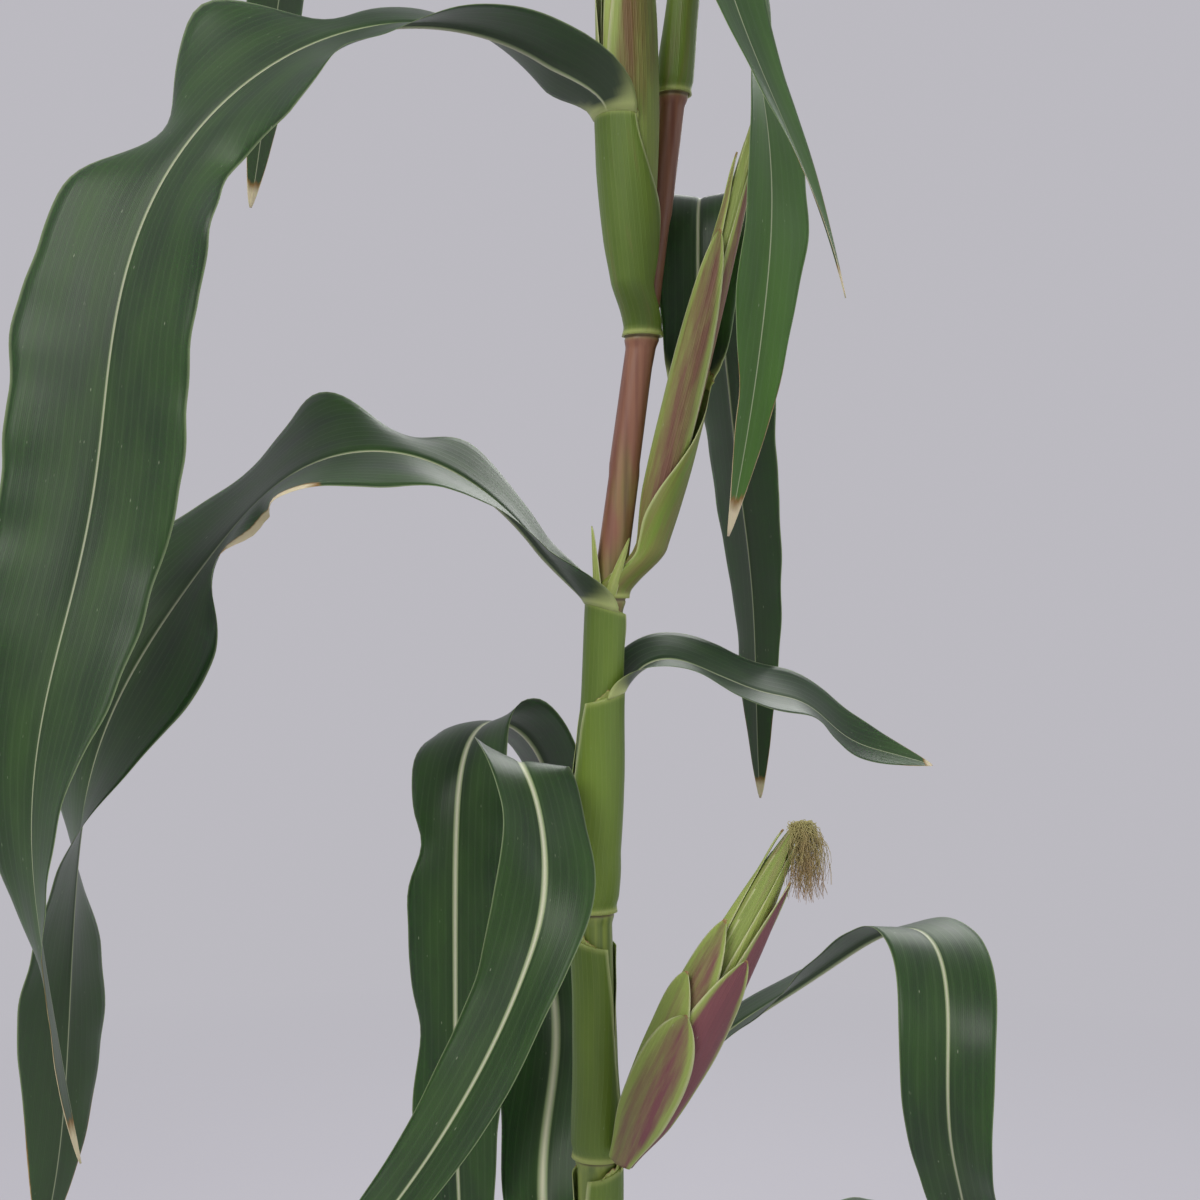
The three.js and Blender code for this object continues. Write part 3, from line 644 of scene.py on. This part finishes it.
# Every ear is drawn in towards its foot
def pinch(ear, along):
    return blendOf(ear["footShare"], 1.0, smooth(along, 0, ear["footEnd"]))


sheath = {
    "thickness": 1.5, "gap": 0.3, "collarRise": 4, "heldOpening": 62,
    "overNext": 1.7, "coverEnd": 44,  # how much wider it is over the next one's foot, and how far below it
    "along": 70, "across": 56, "footWall": 1.4, "edgeWall": 0.35,
}
ligule = {"half": 118, "height": 8.5, "along": 8, "across": 64, "crinkle": 1.3}


def carrierAxis(leaf, height):
    if "ear" not in leaf:
        return stalkAxis(height)
    ear = ears[leaf["ear"]]
    spot = ear["base"] + ear["aim"] * ((height - ear["foot"][2]) / ear["aim"].z)
    return stalkAxis(height).lerp(spot, smooth(height, leaf["joint"], leaf["joint"] + 30))


def carrierRadius(leaf, height):
    if "ear" not in leaf:
        return stalkRadius(height, 4, 60) + 0.5  # a sheath follows the joints as long soft swellings
    ear = ears[leaf["ear"]]
    slant = ear["aim"].z
    along = max((height - ear["foot"][2]) / slant, 0)
    ahead = min(along + 12, ear["length"] * ear["fullest"])
    around = (huskInner(ear, max(along, ahead)) + husk["thickness"]) / slant + sheath["gap"]
    return blendOf(stalkRadius(height) + 1.0, around, smooth(height, leaf["joint"], leaf["joint"] + 54))


def sheathInner(leaf, height):
    inner = carrierRadius(leaf, height) + sheath["gap"]
    if "nextJoint" in leaf:
        inner += sheath["overNext"] * smooth(height, leaf["joint"], leaf["nextJoint"] - sheath["coverEnd"])
    return inner


def makeSheath(leaf):
    sheet = newLeafMesh()
    held = "ear" in leaf
    foot = leaf["joint"] + 1.0
    middle = leaf["opensTo"] - 180 if held else leaf["faces"]
    toFace = (leaf["faces"] - middle + 180) % 360 - 180  # the shorter way round from its middle to its collar's
    seed = leaf["joint"] * 0.37
    for vert, share, across, level in addSlab(sheet[0], sheath["along"], sheath["across"]):
        facing, half = middle, 180 - (-5 + 36 * share ** 2)
        if held:
            closing = smooth(share, 0.35, 1.0)
            facing = middle + closing * toFace
            half = blendOf(180 - sheath["heldOpening"] * smooth(share, 0, 0.2), leaf["wraps"], closing)
        turn = across * half
        slope = sheath["collarRise"] * cos(radians(facing + turn - leaf["faces"])) * share
        height = foot + (leaf["collar"] - foot) * share + slope
        hug = smooth(share, 0.0, 0.07)
        inner = blendOf(stalkRadius(height) + 0.15, sheathInner(leaf, height), hug)
        wall = blendOf(sheath["footWall"], sheath["thickness"] * 0.6, smooth(share, 0.0, 0.06))
        wall = blendOf(wall, sheath["edgeWall"], smooth(abs(across), 0.8, 1.0) * hug)
        lap = 0.8 * (across * 0.5 + 0.5) * (1 - smooth(share, 0.5, 0.9))
        wave = 0.35 * wobble(turn * 0.03, height * 0.02, seed)
        wave += 1.1 * abs(across) ** 8 * wobble(seed, height * 0.05, across)
        radius = inner + lap + hug * wave + wall * level
        vert.co = carrierAxis(leaf, height) + sideways(facing + turn) * radius
        mark(sheet, vert, radians(turn) * radius, height - foot, edge=abs(across), under=1 - level,
             bright=leaf["pale"] + 0.25 * smooth(abs(across), 0.2, 0.9) - 0.1 * share,
             stain=leaf["stain"] - 0.1 * share,
             collar=0.8 * (1 - smooth(share, 0.01, 0.035)) + 0.5 * smooth(share, 0.965, 1.0))
    addLigule(sheet, leaf)
    node = leaf["name"].replace("leaf", "sheath")
    finishLeaf(sheet, node + "_skin", sheathMaterial, [node])


# The ligule: a thin ragged frill that stands up inside the collar
def addLigule(sheet, leaf):
    seed = leaf["collar"] * 0.11
    half = leaf["wraps"] + 4 if "ear" in leaf else ligule["half"]
    for vert, share, across, level in addSlab(sheet[0], ligule["along"], ligule["across"]):
        turn = half * across
        ragged = 0.62 + 0.5 * wobble(turn * 0.12, seed, 2.0)
        tall = ligule["height"] * ragged * (1 - abs(across) ** 4)
        height = leaf["collar"] - 5 + (5 + tall) * share + sheath["collarRise"] * cos(radians(turn))
        crinkle = ligule["crinkle"] * share * wobble(turn * 0.2, share * 2, seed + 4)
        radius = sheathInner(leaf, leaf["collar"]) - 0.9 + 1.6 * share ** 2 + crinkle + 0.25 * level
        vert.co = carrierAxis(leaf, height) + sideways(leaf["faces"] + turn) * radius
        mark(sheet, vert, turn * 0.2, height, collar=0.85, edge=0.5, dry=0.5 * share ** 2)


for leaf in leaves:
    makeSheath(leaf)
print("sheaths ready")


blade = {
    "cup": 0.16, "standOff": 0.5, "thicknessShare": 0.0105, "skin": 0.4, "keel": 3.6,
    "along": 170, "across": 24, "fineSteps": 200,
    "join": 42,  # how far from the collar the blade still bears the sheath's roundness
}


# A smooth curve through evenly spaced stations
def stationValue(stations, share):
    drawnOut = [2 * stations[0] - stations[1], *stations, 2 * stations[-1] - stations[-2]]
    last = len(stations) - 1
    i = min(int(share * last), last - 1)
    t = share * last - i
    before, here, there, after = drawnOut[i:i + 4]
    slopeHere, slopeThere = 0.5 * (there - before), 0.5 * (after - here)
    bend = -3 * here + 3 * there - 2 * slopeHere - slopeThere
    return here + slopeHere * t + bend * t ** 2 + (2 * here - 2 * there + slopeHere + slopeThere) * t ** 3


# The middle line of a blade, step by step: the spot, the way to its side and the way its face looks
def bladeFrames(leaf):
    thickness = leaf["length"] * blade["thicknessShare"]
    clear = sheathInner(leaf, leaf["collar"]) + sheath["thickness"] + blade["standOff"] + 0.6 * thickness
    spot = carrierAxis(leaf, leaf["collar"]) + sideways(leaf["faces"]) * clear
    frames = []
    for i in range(blade["fineSteps"] + 1):
        share = i / blade["fineSteps"]
        pitch, heading, roll = (radians(stationValue(leaf[key], share)) for key in ("pitch", "heading", "roll"))
        along = Vector((cos(pitch) * cos(heading), cos(pitch) * sin(heading), sin(pitch)))
        level = Vector((-sin(heading), cos(heading), 0.0))
        side = level * cos(roll) + along.cross(level) * sin(roll)
        frames.append((spot.copy(), side, along.cross(side)))
        spot += along * (leaf["length"] / blade["fineSteps"])
    return frames


def bladeHalfWidth(leaf, share):
    base = 0.46 + 0.54 * smooth(share, 0, 0.3)
    taper = max(1 - min(share, 1.0) ** 2.6, 0.0) ** 0.8
    return 0.5 * leaf["width"] * (base * taper + 0.02)


# How far a spot on a blade has dried: its tip, the margins just below the tip, and a stretch of one margin
def dryness(leaf, share, across):
    tip = leaf["dryTip"]
    dry = smooth(share, tip - 0.03 - 0.3 * (1 - tip), min(tip + 0.08, 1.0))
    dry = max(dry, 0.75 * smooth(abs(across), 0.94, 1.0) * smooth(share, tip - 0.25, tip))
    if "dryMargin" in leaf:
        side, start, end = leaf["dryMargin"]
        inStretch = smooth(share, start, start + 0.04) * (1 - smooth(share, end - 0.04, end))
        dry = max(dry, inStretch * smooth(across * side, 0.72, 0.86))
    return dry


def makeBlade(leaf):
    sheet = newLeafMesh()
    frames = bladeFrames(leaf)
    seed = leaf["joint"] * 0.173
    rimRadius = sheathInner(leaf, leaf["collar"]) + sheath["thickness"] * 0.45
    rimTurn = leaf.get("wraps", min(max(degrees(bladeHalfWidth(leaf, 0) * 1.2 / rimRadius), 62), 112))
    rimAxis = carrierAxis(leaf, leaf["collar"])
    for vert, share, raw, level in addSlab(sheet[0], blade["along"], blade["across"]):
        right = raw > 0
        across = copysign(abs(raw) ** 1.5, raw)
        away = share * leaf["length"]
        place = share * blade["fineSteps"]
        low = min(int(place), blade["fineSteps"] - 1)
        spot, side, face = (here.lerp(there, place - low) for here, there in zip(frames[low], frames[low + 1]))
        ripple = wobble(away * 0.012, seed, 3 * right) + 0.5 * wobble(away * 0.03, seed, 3 * right)
        halfWidth = bladeHalfWidth(leaf, share) * (1 + leaf["ruffle"] * ripple * smooth(share, 0.02, 0.15))
        fold = sum(depth * bell(share, at, wide) for part, at, wide, depth in leaf["folds"] if raw * part > 0)
        reach = across * halfWidth * (1 - fold)
        ribHalf = 0.5 * leaf["rib"] * (1 - 0.8 * smooth(share, 0.0, 1.0)) + 0.2
        rib = (blade["keel"] * (1 - smooth(share, 0.0, 0.85)) + 0.2) * bell(reach, 0, ribHalf * 1.1)
        settle = smooth(share, 0.04, 0.2) * (1 - smooth(share, 0.82, 1.0))
        wave = leaf["wave"] * abs(across) ** 2.4 * settle
        lift = blade["cup"] * abs(reach) * (0.8 + 0.2 * abs(across))
        lift += wave * 1.9 * wobble(away * 0.0145, seed + (7 if right else 0), 0.0)
        lift += wave * 0.9 * wobble(away * 0.035, seed + (3 if right else 11), 5.0)
        lift += 0.5 * settle * wobble(away * 0.01, reach * 0.06, seed)
        lift -= 0.7 * fold * abs(reach) * abs(across)  # where a margin turns away from the light
        skin = blade["skin"] * 0.5 * (1 - 0.5 * abs(across))
        far = spot + side * reach + face * (lift + blendOf(-skin - rib, skin - 0.3 * rib, level))
        frill = 1.1 * smooth(abs(across), 0.55, 1.0) * wobble(away * 0.16, seed, raw)
        rim = rimRadius + away * 0.28 + frill + blendOf(0.5, -0.5, level)
        near = rimAxis + sideways(leaf["faces"] + across * rimTurn) * rim
        slope = sheath["collarRise"] * cos(radians(across * rimTurn))
        near.z += slope - 1.0 + away * (0.55 + 0.25 * abs(across))
        vert.co = near.lerp(far, smooth(away, 0, blade["join"]))
        # The blade's bright value is a painted glow of light shining through it; it also rises towards the dry
        # tip
        mark(sheet, vert, reach, away, edge=abs(across), under=1 - level, dry=dryness(leaf, share, across),
             bright=leaf["bright"] + 0.22 * smooth(share, leaf["dryTip"] - 0.25, leaf["dryTip"]),
             collar=0.95 * (1 - smooth(away, 2, 8 + 19 * abs(across) ** 2)), ribHalf=ribHalf * mapScale)
    nodes = [leaf["name"] + end for end in (("_base", "_end") if leaf["split"] else ("",))]
    finishLeaf(sheet, leaf["name"] + "_blade", bladeMaterial, nodes)


for leaf in leaves:
    makeBlade(leaf)
print("blades ready")


# The ear's own body, its wrapped leaves lying over each other in a slow spiral
def makeEarBody(name, ear):
    sheet = newLeafMesh()
    laps = 5
    places = {}

    def earPoint(share, around):
        lap = (around * laps + 0.9 * share) % 1.0
        along = blendOf(ear["start"], ear["length"], share)
        radius = (earRadius(ear, along) - 0.5) * pinch(ear, along) + 0.9 * lap * smooth(share, 0, 0.1)
        spot = onEar(ear, tau * around, max(radius, 0.4), along)
        places[spot.to_tuple(3)] = (share, around, lap)
        return spot

    for vert in addTube(sheet[0], 90, 60, earPoint):
        share, around, lap = places.get(vert.co.to_tuple(3), (0.5, 0.0, 0.5))
        mark(sheet, vert, around * tau * ear["radius"], share * ear["length"], edge=lap, bright=0.4 + 0.3 * lap,
             stain=0.2 + 0.2 * share, warm=ear["warm"])
    finishLeaf(sheet, name + "_body", huskMaterial, [name])


# One husk leaf: it wraps the ear and closes in to a point. A free one has a layer and stands off a little there
def addHuskLeaf(sheet, ear, faces, length, wraps, *rest):
    free, stain = len(rest) == 2, rest[-1]
    seed = faces * 0.31 + length
    for vert, share, across, level in addSlab(sheet[0], 44, 26):
        along = blendOf(ear["start"], length, share)
        halfAngle = wraps * max(max(1 - share ** 3.2, 0.0) ** 0.75, 0.03)
        angle = radians(faces + across * halfAngle)
        if free:
            base = huskInner(ear, along) + 0.9 + husk["leafStep"] * rest[0] + ear["standOff"] * share ** 7
            purple = 0.46 * cos(angle - radians(ear["purpleSide"]))
        else:
            base = earRadius(ear, min(along, ear["length"])) + 0.25 + 2.2 * smooth(share, 0.86, 1.0)
            purple = 0.1
        if "stainFrom" in ear:
            purple -= 0.5 * (1 - smooth(share, ear["stainFrom"] - 0.15, ear["stainFrom"] + 0.1))
        wall = (0.9 if free else 0.5) * (1 - 0.55 * abs(across))
        keel = 0.5 * bell(across, 0, 0.12) * (1 - share)
        curl = 0.9 * abs(across) ** 3 * smooth(share, 0.35, 0.9)
        crease = 0.35 * wobble(across * 3, share * 5, seed)
        radius = base * pinch(ear, along) + curl + crease + keel + wall * level
        vert.co = onEar(ear, angle, max(radius, 0.5), along)
        mark(sheet, vert, radians(across * halfAngle) * radius, along, edge=abs(across), under=1 - level,
             bright=(0.45 if free else 0.8) + 0.3 * abs(across), dry=0.6 * smooth(share, 0.955, 1.0),
             stain=stain + purple - 0.9 * smooth(abs(across), 0.5, 0.96) - 0.15 * smooth(share, 0.85, 1.0),
             warm=ear["warm"])


# A small pointed leaf that stands at the foot of an ear, folded along its keel
def addPointLeaf(sheet, foot, tip, halfWidth, faces):
    line = Vector(tip) - Vector(foot)
    out = sideways(faces)
    side = line.cross(out).normalized()
    for vert, share, across, level in addSlab(sheet[0], 18, 8):
        reach = across * halfWidth * (1 - share) ** 0.7 + 0.1 * across
        fold = -0.55 * abs(reach) + 0.8 * level * (1 - 0.6 * abs(across))
        vert.co = Vector(foot) + line * share + side * reach + out * fold
        mark(sheet, vert, reach, line.length * share, edge=abs(across), bright=0.9,
             collar=0.35 * (1 - abs(across)))


def makeHusks(name, ear):
    for index, row in enumerate(ear["husks"], 1):
        sheet = newLeafMesh()
        addHuskLeaf(sheet, ear, *row)
        node = f"{name}_husk_{index}"
        finishLeaf(sheet, node + "_leaf", huskMaterial, [node])
    sheet = newLeafMesh()
    for row in ear.get("outer", []) + ear["inner"]:
        addHuskLeaf(sheet, ear, *row)
    for row in ear.get("points", []):
        addPointLeaf(sheet, *row)
    finishLeaf(sheet, name + "_more_leaves", huskMaterial)


# Threads as one curve with many splines, made a mesh
def makeThreads(name, threads, radius, material, nodes=()):
    curve = bpy.data.curves.new(name, "CURVE")
    setAll(curve, dimensions="3D", bevel_depth=radius, bevel_resolution=0, use_fill_caps=True, resolution_u=1)
    for points in threads:
        spline = curve.splines.new("POLY")
        spline.points.add(len(points) - 1)
        for i, (target, spot) in enumerate(zip(spline.points, points)):
            setAll(target, co=(*spot, 1.0), radius=1.0 - 0.6 * i / (len(points) - 1))
    holder = addObject(name + "_curve", curve)
    bpy.context.view_layer.update()
    drawn = bpy.data.meshes.new_from_object(holder.evaluated_get(bpy.context.evaluated_depsgraph_get()))
    bpy.data.objects.remove(holder)
    bm = bmesh.new()
    bm.from_mesh(drawn)
    bpy.data.meshes.remove(drawn)
    share = bm.verts.layers.float.new("share")
    heights = [vert.co.z for vert in bm.verts]
    top, bottom = max(heights), min(heights)
    for vert in bm.verts:
        vert[share] = (top - vert.co.z) / (top - bottom)
    finishPiece(bm, name, material, nodes)


def makeSilk(name, ear):
    tuft = ear["tuft"]
    tip = ear["base"] + ear["aim"] * (ear["length"] - 6)
    out = sideways(tuft["faces"])
    across = out.cross(up)
    threads = []
    for _ in range(silk["threads"]):
        angle, spread = dice.uniform(0, tau), sqrt(dice.random())
        aim = out * cos(angle) + across * sin(angle)
        start = tip + aim * (1.8 * spread)
        lift = tuft["rise"] * dice.uniform(0.7, 1.35)
        reach = tuft["reach"] * dice.uniform(0.5, 1.3)
        drop = tuft["drop"] * dice.uniform(0.35, 1.05)
        knots = [
            start,
            start + ear["aim"] * lift + aim * 2.0,
            start + out * reach + aim * (6.5 * spread) + up * (lift * 0.8),
            start + out * reach * 0.9 + aim * (tuft["radius"] * spread) - up * drop,
        ]
        phase = dice.uniform(0, 50)
        points = []
        for i in range(silk["steps"] + 1):
            t = i / silk["steps"]
            weights = ((1 - t) ** 3, 3 * t * (1 - t) ** 2, 3 * t * t * (1 - t), t ** 3)
            spot = sum((knot * weight for knot, weight in zip(knots, weights)), Vector())
            points.append(spot + Vector([wobble(phase, t * 5, k) for k in (0, 9, 17)]) * (tuft["tangle"] * t))
        threads.append(points)
    makeThreads(name + "_silk_threads", threads, silk["radius"], silkMaterial, [name + "_silk"])


for earName, ear in ears.items():
    makeEarBody(earName, ear)
    makeHusks(earName, ear)
    if "tuft" in ear:
        makeSilk(earName, ear)
print("ears ready")


tassel = {
    "length": 360, "radius": 5, "branches": 12, "branchRadius": 3.4, "branchTurn": 137.5, "stemShare": 0.42,
    "floretLength": 9.5, "floretWidth": 1.5, "floretStep": 5.2,
    "sacs": 300, "sacChance": 0.16, "sacRadius": 0.7,
}


# The middle spike comes first and is the only one without a droop. "bare" is the share before the first floret
def tasselBranches():
    foot = stalkAxis(stalk["top"]) + up * 0.3
    upright = Vector((0.07, 0, 1)).normalized()
    rows = [[foot, upright, tassel["length"], 0, tassel["radius"], 0.4]]
    for i in range(tassel["branches"]):
        share = i / (tassel["branches"] - 1)
        aim = (sideways(tassel["branchTurn"] * i + 20) * (0.75 - 0.35 * share) + up).normalized()
        start = foot + upright * (30 + 105 * share)
        rows.append([start, aim, 230 - 70 * share, 70 - 40 * share, tassel["branchRadius"], 0.12])
    return [dict(zip(("start", "aim", "length", "droop", "radius", "bare"), row)) for row in rows]


def branchSpot(row, share):
    return row["start"] + row["aim"] * (row["length"] * share) - up * (row["droop"] * share * share)


def addStem(bm, row):
    across = row["aim"].cross(up)
    across = across.normalized() if across.length > 0.15 else Vector((0, 1, 0))
    other = row["aim"].cross(across)

    def stemPoint(along, around):
        radius = row["radius"] * tassel["stemShare"] * (1 - 0.65 * along)
        radius *= 1.0 if row["droop"] else 1.0 + 0.9 * (1 - smooth(along, 0.0, 0.3))
        turn = tau * around
        return branchSpot(row, along) + (across * cos(turn) + other * sin(turn)) * radius

    return addTube(bm, 30, 10, stemPoint)


# The florets of one branch stand in whorls and point ahead and outwards. Some carry a pollen sac at their tip
def addFlorets(bm, row, sacSpots):
    shareLayer = bm.verts.layers.float.new("share")
    count = int(row["length"] * (1 - row["bare"]) / tassel["floretStep"])
    turns = 3 if row["droop"] else 6
    for i in range(count):
        share = row["bare"] + (1 - row["bare"]) * (i + 0.5) / count
        ahead = (branchSpot(row, share + 0.01) - branchSpot(row, share - 0.01)).normalized()
        across = ahead.cross(Vector((0.3, 0.1, 1))).normalized()
        other = ahead.cross(across)
        for k in range(turns):
            angle = tau * (k / turns) + i * 1.1 + dice.uniform(-0.3, 0.3)
            out = across * cos(angle) + other * sin(angle)
            aim = (ahead + out * dice.uniform(0.28, 0.5)).normalized()
            size = (1 - 0.3 * share) * dice.uniform(0.85, 1.1)
            long, wide = tassel["floretLength"] * 0.5 * size, tassel["floretWidth"] * size
            off = out * (row["radius"] * 0.45 * (1 - 0.5 * share))
            middle = branchSpot(row, share) + off + aim * (3.2 * size)
            turnTo = up.rotation_difference(aim)
            for vert in bmesh.ops.create_uvsphere(bm, u_segments=6, v_segments=5, radius=1.0)["verts"]:
                vert[shareLayer] = 0.35 + 0.5 * (vert.co.z * 0.5 + 0.5) + 0.15 * (k % 2)
                vert.co = middle + turnTo @ Vector((vert.co.x * wide, vert.co.y * wide * 0.7, vert.co.z * long))
            if dice.random() < tassel["sacChance"]:
                sacSpots.append(middle + aim * long)


def makeTassel():
    rows = tasselBranches()
    stems = bmesh.new()
    shareLayer = stems.verts.layers.float.new("share")
    for row in rows:
        for vert in addStem(stems, row):
            vert[shareLayer] = 0.15
    finishPiece(stems, "tassel_stems", floretMaterial, ["tassel"])

    florets = bmesh.new()
    sacSpots = []
    for row in rows:  # a mesh of its own for each branch, as small ones take new parts faster
        bm = bmesh.new()
        addFlorets(bm, row, sacSpots)
        part = meshOf(bm, "branchFlorets")
        florets.from_mesh(part)
        bpy.data.meshes.remove(part)
    finishPiece(florets, "tassel_florets", floretMaterial)

    threads = []
    for spot in sacSpots[:tassel["sacs"]]:
        hang = dice.uniform(2.5, 5.0)
        lean = Vector((dice.uniform(-1, 1), dice.uniform(-1, 1), 0))
        threads.append([spot, spot + lean * 0.6 - up * (hang * 0.4), spot + lean - up * (hang + 3.5)])
    makeThreads("tassel_sacs", threads, tassel["sacRadius"], sacMaterial)


makeTassel()
print("tassel ready")


studio = {
    "floorRadius": 60, "floor": "d5d3d9", "floorShade": "bab8c2", "sky": (0.50, 0.49, 0.53, 1.0),
    "fadeFrom": 1.0, "fadeTo": 3.2,  # metres from the plant over which the floor passes into the sky's tone
}


def makeFloor():
    bm = bmesh.new()
    bmesh.ops.create_circle(bm, cap_ends=True, segments=96, radius=studio["floorRadius"])
    mesh = meshOf(bm, "floor")
    material, tree, shader = newMaterial("floorPaper")
    spot = addNode(tree, "TexCoord").outputs["Object"]
    soft = mapValue(tree, addNoise(tree, spot, 2.0, 2.0), 0.3, 0.7, 0.0, 0.06)
    paper = mixColour(tree, soft, colour(studio["floor"]), colour(studio["floorShade"]))
    away = addNode(tree, "VectorMath", {0: spot}, operation="LENGTH").outputs["Value"]
    fade = mapValue(tree, away, studio["fadeFrom"], studio["fadeTo"])
    black = (0.0, 0.0, 0.0, 1.0)
    setInputs(tree, shader, {
        "Base Color": mixColour(tree, fade, paper, black),
        "Emission Color": mixColour(tree, fade, black, studio["sky"]),
        "Emission Strength": 1.0,
        "Roughness": 0.95,
        "Specular IOR Level": 0.0,
    })
    mesh.materials.append(material)
    addObject("floor", mesh)


def addLight(name, place, aimHeight, size, power, tint):
    light = bpy.data.lights.new(name, "AREA")
    setAll(light, shape="DISK", size=size, energy=power, color=tint)
    holder = addObject(name, light)
    holder.location = place
    holder.rotation_euler = (up * aimHeight - Vector(place)).to_track_quat("-Z", "Y").to_euler()


makeFloor()
world = bpy.data.worlds.new("softSky")
bpy.context.scene.world = world
world.use_nodes = True
world.node_tree.nodes["Background"].inputs[0].default_value = studio["sky"]
addLight("keyLight", (-1.6, -2.2, 3.2), 1.0, 2.2, 62, (1.0, 0.98, 0.95))
addLight("fillLight", (2.4, -1.4, 1.8), 1.0, 2.0, 14, (0.95, 0.97, 1.0))
addLight("backLight", (0.8, 2.6, 2.6), 1.2, 1.8, 24, (0.97, 1.0, 0.95))

camera = bpy.data.cameras.new("photoCamera")
setAll(camera, sensor_width=36.0, lens=48.45, clip_start=0.01)
cameraHolder = addObject("photoCamera", camera)
setAll(cameraHolder, location=(0.008, -0.950, 0.984), rotation_euler=(radians(90), 0, 0))
bpy.context.scene.camera = cameraHolder
bpy.context.scene.view_settings.view_transform = "Standard"
